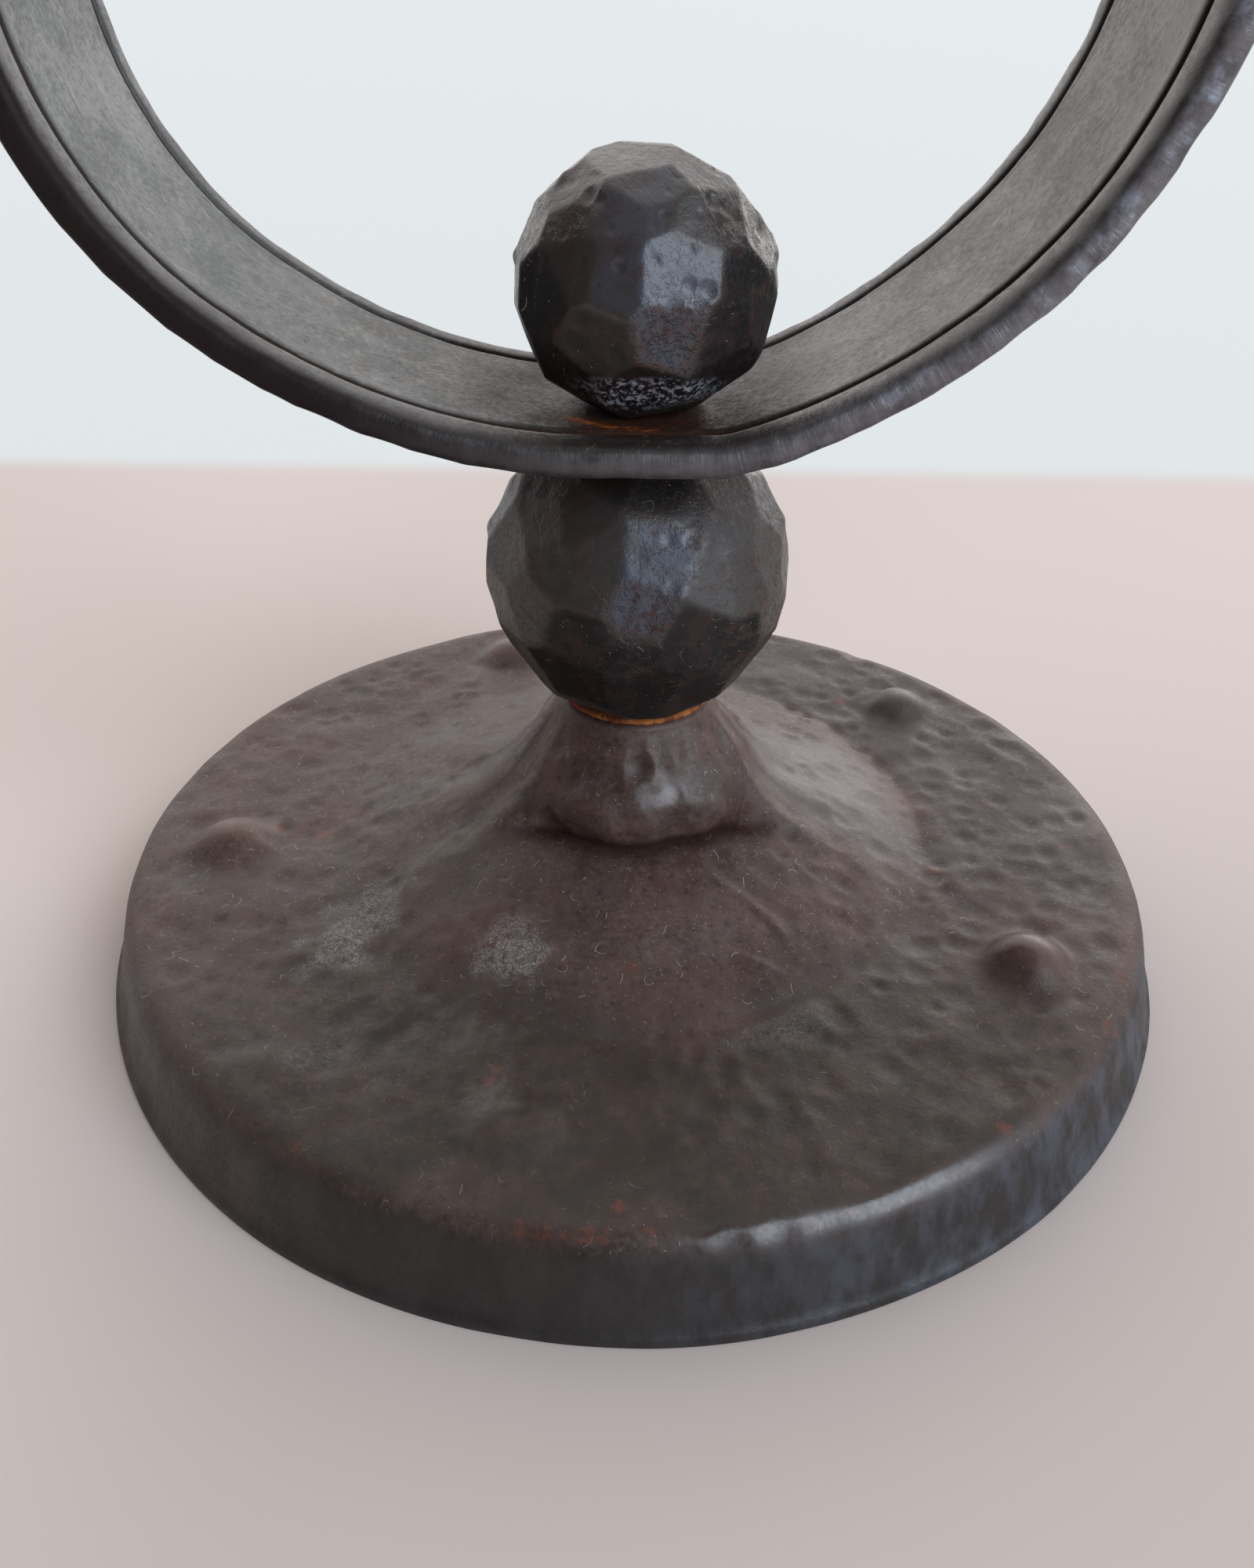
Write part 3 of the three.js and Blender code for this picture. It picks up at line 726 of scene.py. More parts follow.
# Painted light and shade: the cone's flank at the right is painted lighter and the flat at the right and back
# darker. The bosses' tops are worn redder, and the front of the flat is stained darker.
for mark, share, colour in (
    ("worn", 0.5, (0.135, 0.060, 0.046)),
    ("pale", 0.6, (0.20, 0.173, 0.163)),
    ("dusky", 0.7, (0.036, 0.025, 0.022)),
    ("stain", 0.65, (0.036, 0.0190, 0.0135)),
):
    foot_iron.stain(foot_iron.mark(mark) * share, colour)
# The front of the flat is blacker and greener than the rest, in fine ragged patches
foot_patch = noise(foot_where, 2.2, 5, 0.72).fade(0.34, 0.62, 0.1, 0.85)
foot_iron.stain(foot_iron.mark("stain") * foot_patch, (0.0200, 0.0170, 0.0125))
foot_iron.stain(foot_iron.mark("olive") * 0.35, (0.070, 0.058, 0.040))
# The rim's side is blue-black, browner at the left, with greyer smears that run down it; towards the right
# the smears turn pale blue-grey, a painted reflection of the window
foot_flat = place(foot_iron.tree, "Mapping", Vector=foot_where, Scale=(1, 1, 0))["Vector"]
foot_rim = foot_flat.math("LENGTH", kind="VectorMath", out=1).fade(0.0562, 0.0578)
foot_drawn = place(foot_iron.tree, "Mapping", Vector=foot_where, Scale=(1, 1, 0.42))["Vector"]
foot_smear = noise(foot_drawn, 3.4, 5, 0.66).fade(0.36, 0.64)
foot_painted_reflection = foot_iron.split["X"].fade(-0.005, 0.03)
foot_inward = foot_iron.split["X"].fade(-0.05, -0.02)
foot_base = foot_inward.blend((0.036, 0.028, 0.024), (0.010, 0.0095, 0.0095))
foot_pale = foot_inward.blend((0.060, 0.047, 0.041), (0.020, 0.019, 0.018))
foot_pale = foot_painted_reflection.blend(foot_pale, (0.050, 0.059, 0.075))
foot_iron.stain(foot_rim * 0.9, foot_smear.blend(foot_base, foot_pale))
# Whitish dust lies in two patches on the left, and small flecks of rust are scattered about
foot_curls = abs(noise(foot_where, 0.45, 3, 0.7) - 0.5)
foot_grain = foot_curls.fade(0.004, 0.026, 1, 0.1) * noise(foot_where, 0.8, 3, 0.7).fade(0.34, 0.52)
foot_dust = foot_iron.mark("dust") * foot_grain
foot_iron.stain(foot_dust * 0.8, (0.52, 0.51, 0.50))
foot_ragged = (foot_iron.mark("fleck") * 0.62 + noise(foot_where, 0.42, 4, 0.8)).fade(0.90, 1.06)
foot_iron.stain(foot_ragged * 0.62, (0.15, 0.038, 0.022))
# The crease at the neck's foot is darkened, partly with dirt and partly as painted shade; a spot on the neck
# and the rim's fold are rubbed smooth
foot_crease_dirt_and_shade = foot_iron.mark("crease")
foot_iron.stain(foot_crease_dirt_and_shade * 0.9, (0.016, 0.0075, 0.0055))
foot_iron.roughness += foot_dust * 0.3 + foot_crease_dirt_and_shade - foot_rubbed
foot_gloss = foot_rubbed.fade(0.05, 0.32, foot_rubbed.fade(-0.2, 0, 0.2, 0.5), 0.95)
feed(foot_iron.shader, Specular_IOR_Level=foot_crease_dirt_and_shade.fade(0, 0.7, foot_gloss, 0.05))
foot_iron.reliefs = [
    (foot_iron.skin, foot_rubbed.fade(0, 0.14, 0.6, 0.08), 0.05),
    (foot_pits, foot_rubbed.fade(0, 0.2, 0.45, 0.06), 0.11),
]
finish_piece(foot, ["base_plate"], foot_iron.close())

# Seat ring
# A thin ring of mild steel between the neck and the lower ball. It was never blackened, so damp
# has rusted it bright orange where it shows.

ring_low = 30.2
ring_high = 31.0
ring_line = [
    (2.8, ring_low), (5, ring_low), (7.4, ring_low), (7.95, ring_low + 0.08), (8.15, ring_low + 0.25),
    (8.2, ring_low + 0.42), (8.12, ring_low + 0.6), (7.9, ring_high - 0.06), (7.4, ring_high),
    (5, ring_high), (2.8, ring_high),
]
seat_ring = turned("rusted_ring", ring_line, 200)
points = read_points(seat_ring)
rusty_edge = soft_step(np.hypot(points[:, 0], points[:, 1]), 7, 8)
points[:, :2] *= (1 - rusty_edge * (0.012 + 0.012 * waves(points, 1.6, seed=31)))[:, None]
write_points(seat_ring, points)

ring_finish, ring_shader, ring_where = new_finish("orange rust")
ring_across = place(ring_where.tree, "SeparateXYZ", Vector=ring_where)["X"]
ring_colour = (0.15, 0.032, 0.011)
for share, colour in (
    (noise(ring_where, 2.2, 3, 0.6).fade(0.35, 0.62), (0.40, 0.140, 0.032)),
    (noise(ring_where, 1.3, 4, 0.7).fade(0.54, 0.64), (0.040, 0.016, 0.010)),
    (ring_across.fade(-0.0045, -0.0062, 0, 0.8), (0.20, 0.022, 0.010)),
):
    ring_colour = share.blend(ring_colour, colour)
ring_bump = place(
    ring_where.tree, "Bump", Height=noise(ring_where, 0.4, 3, 0.6), Strength=0.9, Distance=0.12 * mm
)
feed(ring_shader, Base_Color=ring_colour, Roughness=0.9, **ring_bump)
finish_piece(seat_ring, ["seat_ring"], ring_finish)

# Balls
# Two forged iron balls, bored for the rod and hammered flat all over, so that each blow left a
# facet. The lower one is bored through, and the upper one is tapped from below and closes the stack.

ball_bore = 2.8
lower_centre = 44.8
lower_below = 13.8
lower_above = 15.0
upper_centre = 72.8
upper_below = 10.4
upper_bore_end = -2.1
# Where the seen facets face in degrees, round from the front to the right, and up; how deep they lie in mm;
# their tone, from black over brown to blue-grey, partly painted light and shade; and how pitted they are
lower_facets = [
    (8, 28, 0.34, 1.0, 0.3), (31, 17, 0.22, 0.5, 0.15), (-1, 7, 0.18, 0.85, 1.0),
    (20, -4, 0.22, 0.0, 0.05), (-22, -6, 0.2, 0.0, 0.05), (-3, -11, 0.08, 0.1, 0.5),
    (-13, 27, 0.1, 0.55, 0.1), (9, 47, 0.1, 0.15, 0.2), (24, 40, 0.05, 0.2, 0.2), (50, 43, 0.1, 0.4, 0.3),
    (39, 32, 0.05, 0.35, 0.1), (44, 15, 0.1, 0.45, 0.6), (59, 18, 0.1, 0.5, 0.9), (76, 32, 0, 0.5, 0.9),
    (-45, 32, 0.1, 0.5, 0.2), (-28, 40, 0.1, 0.5, 0.1), (-36, 18, 0.12, 0.35, 0.1),
    (-19, 15, 0.05, 0.38, 0.1), (-60, 17, 0.05, 0.4, 0.3), (-45, 2, 0.1, 0.3, 0.3),
    (-64, -7, 0, 0.2, 0.2), (-30, -26, 0.1, 0.0, 0.1), (5, -29, 0.1, 0.0, 0.1),
    (40, -15, 0.12, 0.05, 0.9), (62, -7, 0, 0.25, 0.9), (-52, 50, 0.05, 0.4, 0.2),
    (-20, 56, 0.05, 0.2, 0.2), (-82, 28, -0.35, 0.55, 0.4), (-90, 5, -0.4, 0.35, 0.2),
    (-86, -18, -0.2, 0.2, 0.1), (26, -33, 0.1, 0.0, 0.1), (-60, -29, 0.1, 0.05, 0.1),
    (60, -29, 0.1, 0.1, 0.2), (80, 8, 0.05, 0.45, 0.9), (88, -14, 0.05, 0.3, 0.4),
]
upper_facets = [
    (-25, 78, 0.55, 0.6, 0.2), (4, 57, 0.2, 0.7, 0.1), (54, 62, 0.2, 0.6, 0.25),
    (-57, 50, 0.15, 0.55, 0.15), (-40, 35, 0.1, 0.45, 0.2), (-14, 37, 0.12, 0.7, 0.05),
    (7, 40, 0, 0.7, 0.05), (26, 36, 0.1, 0.25, 0.1), (45, 38, 0.1, 0.4, 0.3), (-14, 17, 0.1, 0.7, 0.05),
    (-34, 19, 0.12, 0.35, 0.1), (16, 17, 0.36, 1.0, 0.12), (14, -5, 0.16, 0.75, 1.0),
    (46, 11, 0.1, 0.1, 0.1), (69, 29, 0.05, 0.45, 0.6), (-49, 5, 0.1, 0.05, 0.05),
    (-23, -13, 0.12, 0.1, 0.05), (35, -9, 0.12, 0.03, 0.05), (0, -38, 0.1, 0.0, 0.1),
    (-45, -34, 0.1, 0.0, 0.1), (44, -33, 0.1, 0.0, 0.1), (-73, 30, 0.05, 0.5, 0.4),
    (-82, 4, 0, 0.25, 0.1), (66, -4, -0.1, 0.05, 0.1), (84, 10, -0.3, 0.35, 0.4),
    (88, -14, -0.2, 0.2, 0.1), (-78, -20, 0.05, 0.1, 0.1), (-95, 50, 0.1, 0.5, 0.3),
    (95, 40, 0.1, 0.5, 0.3),
]
# Small nicks and pits that show: round, up, and their radius and depth in mm
lower_nicks = [
    (22, 32, 0.9, 0.14), (12, 33, 0.8, 0.12), (5, 12, 1.1, 0.16), (11, 13, 1.0, 0.16), (16, 10, 0.8, 0.14),
    (-6, 5, 1.0, 0.14), (2, 3, 1.2, 0.16), (9, 6, 0.8, 0.14), (-4, 12, 0.8, 0.14), (0, 30, 0.5, 0.08),
    (-14, 1, 0.8, 0.18), (-10, -3, 0.8, 0.14), (0, -4, 1.3, 0.14), (44, -3, 1.4, 0.2), (47, -8, 1.0, 0.14),
]
upper_nicks = [
    (-36, 47, 1.0, 0.3), (-29, 45, 0.8, 0.2), (42, 45, 0.9, 0.28), (50, 41, 0.8, 0.2), (-12, 20, 0.7, 0.2),
    (19, 11, 1.0, 0.2), (27, 9, 1.0, 0.24), (24, 4, 0.9, 0.2), (12, 4, 0.8, 0.12), (4, 22, 0.6, 0.12),
    (18, -2, 0.9, 0.1), (10, -8, 0.8, 0.1), (-43, 28, 0.5, 0.14), (20, 26, 0.8, 0.1),
]
# Burrs where the iron was squeezed out between two blows: round, up, width in degrees and height in mm
lower_burrs = [(-92, 16, 5, 0.5), (-86, 36, 4, 0.25), (84, 22, 5, 0.2)]
upper_burrs = [(-86, 12, 4, 0.35), (87, 14, 5, 0.4), (80, 30, 4, 0.2), (-80, 52, 4, 0.25)]


def facing(turn, rise):
    """The way a facet faces, from degrees round to the right and up."""
    turn, rise = math.radians(turn), math.radians(rise)
    return np.array([math.sin(turn) * math.cos(rise), -math.cos(turn) * math.cos(rise), math.sin(rise)])


def forged_ball(name, known, nicks, burrs, reach, bulge, below, above, bore_end, gap, full_below, seed):
    """A ball about its own centre, hammered into facets about the reach from it and the gap in degrees apart.
    Its skin bulges no further than the bulge, and is cut flat below and above."""
    dice = np.random.default_rng(seed)
    ways = [facing(turn, rise) for turn, rise, _, _, _ in known]
    looks = [row[2:] for row in known]
    for _ in range(4000):
        way = dice.normal(size=3)
        way /= np.linalg.norm(way)
        if all(way @ other < math.cos(math.radians(gap)) for other in ways):
            ways.append(way)
            looks.append((dice.uniform(0, 0.3), dice.uniform(0.1, 0.75), dice.uniform(0, 0.7)))
    ways = np.array(ways)
    depths, tones_and_light, pitted = np.array(looks).T
    depths[ways[:, 2] < -0.72] -= full_below
    start = -math.atan2(below, ball_bore)
    end = math.pi / 2 if bore_end is not None else math.atan2(above, ball_bore)
    arc = [(reach * math.cos(a), reach * math.sin(a)) for a in np.linspace(start, end, 140)]
    if bore_end is None:
        line = arc + [(ball_bore, z) for z in np.linspace(above, -below, 12)[1:-1]]
    else:
        line = [(0, bore_end)] + [(ball_bore, z) for z in np.linspace(bore_end, -below, 7)[:-1]] + arc
    ball = turned(name, line, 330, closed=bore_end is None)
    points = read_points(ball)
    skin = np.linalg.norm(points, axis=1) > reach - 0.01
    way = points[skin] / np.linalg.norm(points[skin], axis=1)[:, None]
    facing_share = np.maximum(way @ ways.T, 1e-3)
    distances = (reach - depths) / facing_share
    lowest = distances.min(1)
    sharp = 22.0
    distances = np.minimum(distances, 60)
    spread = np.exp(-sharp * (distances - lowest[:, None])).sum(1) + np.exp(-sharp * (bulge - lowest))
    length = lowest - np.log(spread) / sharp
    length += 0.022 * waves(way * reach, 6, seed + 1) + 0.009 * waves(way * reach, 2.1, seed + 2)
    for turn, rise, width, height in burrs:
        apart = np.degrees(np.arccos(np.clip(way @ facing(turn, rise), -1, 1)))
        length += height * bell(apart, width)
    skin_points = way * length[:, None]
    skin_points[:, 2] = np.clip(skin_points[:, 2], -below, above)
    points[skin] = skin_points
    write_points(ball, points)
    nearness = np.exp(-7 * (distances - lowest[:, None]))
    nearness /= nearness.sum(1)[:, None]
    two_lowest = np.partition(distances, 1, axis=1)[:, :2]
    ridge = 1 - soft_step(two_lowest[:, 1] - two_lowest[:, 0], 0.02, 0.3)
    for mark, values in (("facet", nearness @ tones_and_light), ("pitted", nearness @ pitted), ("ridge", ridge)):
        all_values = np.zeros(len(points))
        all_values[skin] = values
        write_mark(ball, mark, all_values)
    pits = [(*(facing(turn, rise) * (reach - 0.1)), radius, depth) for turn, rise, radius, depth in nicks]
    for _ in range(260):
        spot = dice.normal(size=3)
        spot *= reach / np.linalg.norm(spot)
        pits.append((*spot, dice.uniform(0.3, 1.3), dice.uniform(0.02, 0.09)))
    hollows = dented(ball, pits, skin * (np.abs(points[:, 2]) < min(below, above) - 0.3))
    write_mark(ball, "hollow", hollows / 0.3)
    # Pale specks low on the upper ball's front are a painted highlight
    spots = skin & (points[:, 1] < 0)
    level_away = np.hypot((points[:, 0] - 0.3) / 8.2, (points[:, 2] + 0.63 * reach) / 2.3)
    write_mark(ball, "bloom", spots * (1 - soft_step(level_away, 0.5, 1.0)) * (bore_end is not None))
    return ball


def stand_at(piece, height, matt):
    """Puts a piece that was made about its own centre at its height in the stack, with its sheen."""
    points = read_points(piece)
    write_mark(piece, "matt", np.full(len(points), matt))
    points[:, 2] += height
    write_points(piece, points)


lower_ball = forged_ball(
    "lower_forged_ball", lower_facets, lower_nicks, lower_burrs, reach=15.1, bulge=16.0, below=lower_below,
    above=lower_above, bore_end=None, gap=21, full_below=0.4, seed=41,
)
stand_at(lower_ball, lower_centre, matt=1)
upper_ball = forged_ball(
    "upper_forged_ball", upper_facets, upper_nicks, upper_burrs, reach=11.75, bulge=12.5, below=upper_below,
    above=11.6, bore_end=upper_bore_end, gap=22, full_below=0, seed=52,
)
stand_at(upper_ball, upper_centre, matt=0)

ball_iron = Iron(
    "blue-black ball iron", (0.0100, 0.0087, 0.0087), (0.0170, 0.0145, 0.0145), rough=0.34, rust=0.25,
    lint=0.3, flat="XZ", skin=0.3, bend=1.5, deep=0.5,
)
ball_where = ball_iron.where
ball_facet_tones_and_light = ball_iron.mark("facet")
# The tone sets each facet's colour. Beside random differences it carries painted light: facets that face the
# window are pale blue-grey, a painted highlight, and the lowest ones black, painted shade.
ball_iron.stain(ball_facet_tones_and_light.fade(0.05, 0.5, 0, 0.9), (0.045, 0.038, 0.035))
ball_iron.stain(ball_facet_tones_and_light.fade(0.5, 0.95, 0, 0.9), (0.067, 0.074, 0.100))
ball_iron.stain(noise(ball_where, 3, 4, 0.65).fade(0.46, 0.64, 0, 0.6), (0.042, 0.023, 0.020))
# The ridges between the facets are browner in places
ball_worn = ball_iron.mark("ridge") * noise(ball_where, 2.4, 3, 0.6).fade(0.54, 0.64, 0, 0.5)
ball_iron.stain(ball_worn, (0.070, 0.032, 0.024))
# Some facets are pitted and scratched, and pale specks low on the front of the upper ball are a painted
# highlight
ball_drawn = place(
    ball_iron.tree, "Mapping", {"vector_type": "TEXTURE"}, Vector=ball_where, Rotation=(0.5, 0.3, 0.9),
    Scale=(1, 8, 1),
)["Vector"]
ball_scratches = noise(ball_drawn, 0.5, 3, 0.6).fade(0.58, 0.66)
ball_marred = noise(ball_where, 0.9, 4, 0.7).fade(0.50, 0.62) + ball_scratches
ball_pitted = ball_iron.mark("pitted")
ball_iron.reliefs.append((ball_marred * ball_pitted * -1, 0.75, 0.16))
ball_reddish = ball_pitted * noise(ball_where, 1.6, 4, 0.7).fade(0.52, 0.62, 0, 0.6)
ball_iron.stain(ball_reddish, (0.085, 0.042, 0.034))
ball_speck_highlight = ball_iron.mark("bloom") * noise(ball_where, 0.6, 3, 0.7).fade(0.48, 0.60)
ball_iron.stain(ball_speck_highlight * 0.75, (0.40, 0.44, 0.51))
ball_iron.roughness += ball_facet_tones_and_light.fade(0, 1, 0.04, -0.07) + ball_iron.mark("matt") * 0.05
ball_gloss = ball_facet_tones_and_light.fade(0, 0.3, 0.3, 0.5).math("MINIMUM", ball_reddish.fade(0.1, 0.5, 0.5, 0.2))
feed(ball_iron.shader, Specular_IOR_Level=ball_gloss)
ball_finish = ball_iron.close()
finish_piece(lower_ball, ["lower_ball"], ball_finish, lint_way=(0, -1, 0))
finish_piece(upper_ball, ["upper_ball"], ball_finish, lint_way=(0, -1, 0))

# Arm bar
# One flat bar of forged iron. Its edges are hammered round, a groove is chased along each of them,
# and three holes are drilled while it is flat. Then it is bent up on both sides over the horn.

bar_width = 29.6
bar_half = bar_width / 2
bar_thickness = 2.6
bar_underside = 59.8
pan_centre = 74.338
elbow_radius = 8
shelf_bend_radius = 8
left_bends = [(elbow_radius, 4), (57, 36), (37, 90)]
right_bends = [(elbow_radius, 17), (62, 39), (45, 76)]
left_flat = 7.5
left_straight = 8.7
right_flat = 6.4
front_groove = -10.2
back_groove = 10.8


def arm_path(flat, bends, straight):
    """Walks the underside of an arm outwards. Each row: how far along, x, height, and slope."""
    at = [0.0, 0.0, 0.0, 0.0]
    rows = [tuple(at)]

    def go(length, turn):
        count = max(1, math.ceil(length / 0.25))
        for _ in range(count):
            middle = at[3] + turn / count / 2
            at[0] += length / count
            at[1] += math.cos(middle) * length / count
            at[2] += math.sin(middle) * length / count
            at[3] += turn / count
            rows.append(tuple(at))

    go(flat, 0)
    for radius, slope in bends:
        turn = math.radians(slope) - at[3]
        go(radius * turn, turn)
    if straight > 0:
        go(straight, 0)
    go(shelf_bend_radius * at[3], -at[3])
    if at[1] < pan_centre + bar_half:
        go(pan_centre + bar_half - at[1], 0)
    return np.array(rows)


left_path = arm_path(left_flat, left_bends, left_straight)
right_short = arm_path(right_flat, right_bends, 0)
right_straight = (left_path[-1, 2] - right_short[-1, 2]) / math.sin(math.radians(right_bends[-1][1]))
right_path = arm_path(right_flat, right_bends, right_straight)
left_length = left_path[-1, 0]
right_length = right_path[-1, 0]


def across(start, end, step):
    """Even places from start to end, without the end."""
    count = max(1, round(abs(end - start) / step))
    return [start + (end - start) * i / count for i in range(count)]


# Half a section's groove: how far outwards from its middle, and the height
groove_shape = [
    (0.62, 2.54), (0.42, 2.42), (0.26, 2.1), (0.12, 1.88), (-0.04, 1.84), (-0.2, 2.0), (-0.36, 2.34),
    (-0.6, 2.5),
]
bar_section = [
    (14.8, 1.3), (14.72, 1.75), (14.5, 2.12), (14.1, 2.38), (13.5, 2.54), (12.6, 2.6), (11.9, 2.58),
]
bar_section += [(back_groove + out, t) for out, t in groove_shape]
bar_section += [(y, 2.44) for y in across(9.7, -9.1, 0.62)]
bar_section += [(front_groove - out, t) for out, t in reversed(groove_shape)]
bar_section += [
    (-11.4, 2.59), (-12.4, 2.6), (-13.4, 2.56), (-14.0, 2.44), (-14.42, 2.22), (-14.68, 1.85),
    (-14.79, 1.4), (-14.8, 0.95), (-14.72, 0.5), (-14.46, 0.2), (-14.0, 0.05), (-13.3, 0.01),
]
bar_section += [(y, 0.0) for y in across(-12.6, 12.7, 0.8)]
bar_section += [(13.4, 0.03), (14.0, 0.15), (14.45, 0.42), (14.7, 0.82)]
bar_section = np.array(bar_section)

bar_steps = 570
bpy.ops.object.select_all(action="DESELECT")
bpy.ops.mesh.primitive_grid_add(x_subdivisions=bar_steps, y_subdivisions=len(bar_section), size=2)
arm_bar = bpy.context.object
arm_bar.name = "chased_arm_bar"
arm_bar.data.name = "chased_arm_bar"

# The grid is rolled round the section: its y gives the place in the section, and its x the length
points = read_points(arm_bar) * mm
section_row = np.round((points[:, 1] + 1) / 2 * len(bar_section)).astype(int) % len(bar_section)
bar_y, bar_t = bar_section[section_row].T
tip_turn = math.radians(83)
straight_lengths = (left_length - bar_half, right_length - bar_half)
tip_share = 0.125
share = np.abs(points[:, 0])
turn = tip_turn * np.clip((share - 1 + tip_share) / tip_share, 0, 1)
body_length = np.where(points[:, 0] < 0, *straight_lengths)
bar_s = np.sign(points[:, 0]) * np.where(
    share < 1 - tip_share, body_length * share / (1 - tip_share), body_length + bar_half * np.sin(turn)
)
narrow = np.cos(turn)

# Each edge wanders a little, and so does each groove
along = np.stack([bar_s, 0 * bar_s, 0 * bar_s], 1)
front_zone = soft_step(-bar_y, 12.4, 14.8)
back_zone = soft_step(bar_y, 12.4, 14.8)
bar_y = bar_y + front_zone * (0.22 + 0.2 * waves(along, 13, seed=61))
bar_y = bar_y - back_zone * (0.16 + 0.14 * waves(along, 15, seed=62))
near_front_groove = bell(bar_y - front_groove, 1.6)
near_back_groove = bell(bar_y - back_groove, 1.6)
bar_y = bar_y + near_front_groove * 0.16 * waves(along, 17, seed=63)
bar_y = bar_y + near_back_groove * 0.14 * waves(along, 19, seed=64)
bar_t = bar_t - 0.5 * soft_step(-bar_y, 9.5, 13.5) * (bar_t < 0.7) * np.clip(1.4 * (0.7 - bar_t), 0, 1)
in_groove = (bar_t > 1.5) & (bar_t < 2.4) & (np.abs(bar_y) < 12.2)
points = np.stack([bar_s, bar_y * narrow, bar_t], 1)
write_points(arm_bar, points)
halo = bell(bar_y - front_groove, 1.1) * (bar_t > 1.5) * soft_step(bar_s, -20, 30)
write_mark(arm_bar, "groove", np.maximum(in_groove, 0.8 * halo))
welded(holes=True)

bar_dice = np.random.default_rng(66)
bar_blows = []
for count, sides, high, sizes, depths in (
    (620, (-9.4, 10), 2.5, (2, 4.4), (0.02, 0.09)), (260, (-13, 13), 0, (2.4, 4.6), (0.04, 0.16))
):
    for _ in range(count):
        spot, side = bar_dice.uniform(-left_length, right_length), bar_dice.uniform(*sides)
        bar_blows.append((spot, side, high, bar_dice.uniform(*sizes), bar_dice.uniform(*depths)))
for side, share in ((-15.0, 1.0), (14.9, 0.6)):
    spot = -left_length
    while spot < right_length:
        strong = 1.2 if spot > 18 else 0.75
        bar_blows.append((spot, side, bar_dice.uniform(0.6, 2.4), bar_dice.uniform(1.9, 3.6),
                          share * strong * bar_dice.uniform(0.08, 0.36)))
        spot += bar_dice.uniform(1.6, 4.6)
# The right arm's front edge has close narrow notches from the hammer's peen
spot = 10.0
while spot < right_length - 20:
    bar_blows.append((spot, -14.8 + bar_dice.uniform(-0.2, 0.3), bar_dice.uniform(0.2, 1.9),
                      bar_dice.uniform(0.7, 1.4), bar_dice.uniform(0.05, 0.26)))
    spot += bar_dice.uniform(0.7, 2.2)
bar_hollow = dented(arm_bar, bar_blows)
write_mark(arm_bar, "hollow", bar_hollow / 0.3)

for hole_x, hole_radius in ((0, 2.8), (pan_centre, 2.7), (-pan_centre, 2.7)):
    path = left_path if hole_x < 0 else right_path
    hole_s = math.copysign(np.interp(abs(hole_x), path[:, 1], path[:, 0]), hole_x) if hole_x else 0
    bpy.ops.object.select_all(action="DESELECT")
    bpy.ops.mesh.primitive_cylinder_add(
        vertices=40, radius=hole_radius * mm, depth=8 * mm, location=(hole_s * mm, 0, bar_thickness / 2 * mm)
    )
    drill = bpy.context.object
    bpy.context.view_layer.objects.active = arm_bar
    cut = arm_bar.modifiers.new("drilled hole", "BOOLEAN")
    cut.operation = "DIFFERENCE"
    cut.solver = "EXACT"
    cut.object = drill
    bpy.ops.object.modifier_apply(modifier=cut.name)
    bpy.data.objects.remove(drill, do_unlink=True)

flat_points = read_points(arm_bar)
bar_s, bar_y, bar_t = flat_points.T
right_twist = between(bar_s, 8, 40, 74, 92) * math.tan(math.radians(2.0))
bar_t = bar_t + right_twist * (bar_y + bar_half)
bent = np.empty_like(flat_points)
for side, path, chosen in ((-1, left_path, bar_s < 0), (1, right_path, bar_s >= 0)):
    s = np.abs(bar_s[chosen])
    slope = np.interp(s, path[:, 0], path[:, 3])
    x = np.interp(s, path[:, 0], path[:, 1]) - bar_t[chosen] * np.sin(slope)
    bent[chosen, 0] = side * x
    bent[chosen, 1] = bar_y[chosen]
    bent[chosen, 2] = bar_underside + np.interp(s, path[:, 0], path[:, 2]) + bar_t[chosen] * np.cos(slope)
write_points(arm_bar, bent)
bpy.ops.object.select_all(action="DESELECT")
arm_bar.select_set(True)
bpy.context.view_layer.objects.active = arm_bar
bpy.ops.object.shade_smooth_by_angle(angle=math.radians(50))
# The inner face has a pale skin, which is worn off round the upper ball; the edges stay dark brown
flat_high = flat_points[:, 2]
inner = soft_step(flat_high, 1.9, 2.4) * (1 - soft_step(np.abs(bar_y), 12.4, 13.3))
inner *= 1 - 0.5 * soft_step(np.abs(bar_y), 10.8, 11.5)
# The pale skin is weaker on the right arm, most of all further out: painted shade on the face that looks away
# from the window
inner *= 1 - 0.3 * soft_step(bar_s, 38, 60) - 0.12 * soft_step(bar_s, 8, 20)
bare = soft_step(np.hypot(bar_s, 1.2 * bar_y), 10, 27)
write_mark(arm_bar, "inner", inner)
write_mark(arm_bar, "near", (1 - bare) * (flat_high > 1.9))
write_mark(arm_bar, "worked", 1 - soft_step(np.abs(bar_s), 18, 52))
write_mark(arm_bar, "run", bar_s * mm)
seat_away = np.hypot(bar_s, bar_y)
seat_turn = np.degrees(np.arctan2(bar_s, -bar_y))
seat_front = between(seat_turn, -75, -45, 5, 25)
seat_right = bell(seat_turn - 58, 9)
seat_rust = bell(seat_away - 8.9, 1.25) * np.maximum(seat_front, seat_right)
seat_brown = (1 - soft_step(seat_away, 8.5, 13.5)) * between(seat_turn, -110, -60, 70, 110)
write_mark(arm_bar, "browned", seat_brown * (flat_high > 1.9))
write_mark(arm_bar, "rusty", seat_rust * (flat_high > 2))
# The right arm's front edge is rubbed bright along its lower half
rubbed = soft_step(-bar_y, 13.0, 14.2) * (1 - soft_step(flat_high, 1.6, 2.6)) * soft_step(bar_s, -26, 24)
write_mark(arm_bar, "rubbed", rubbed)
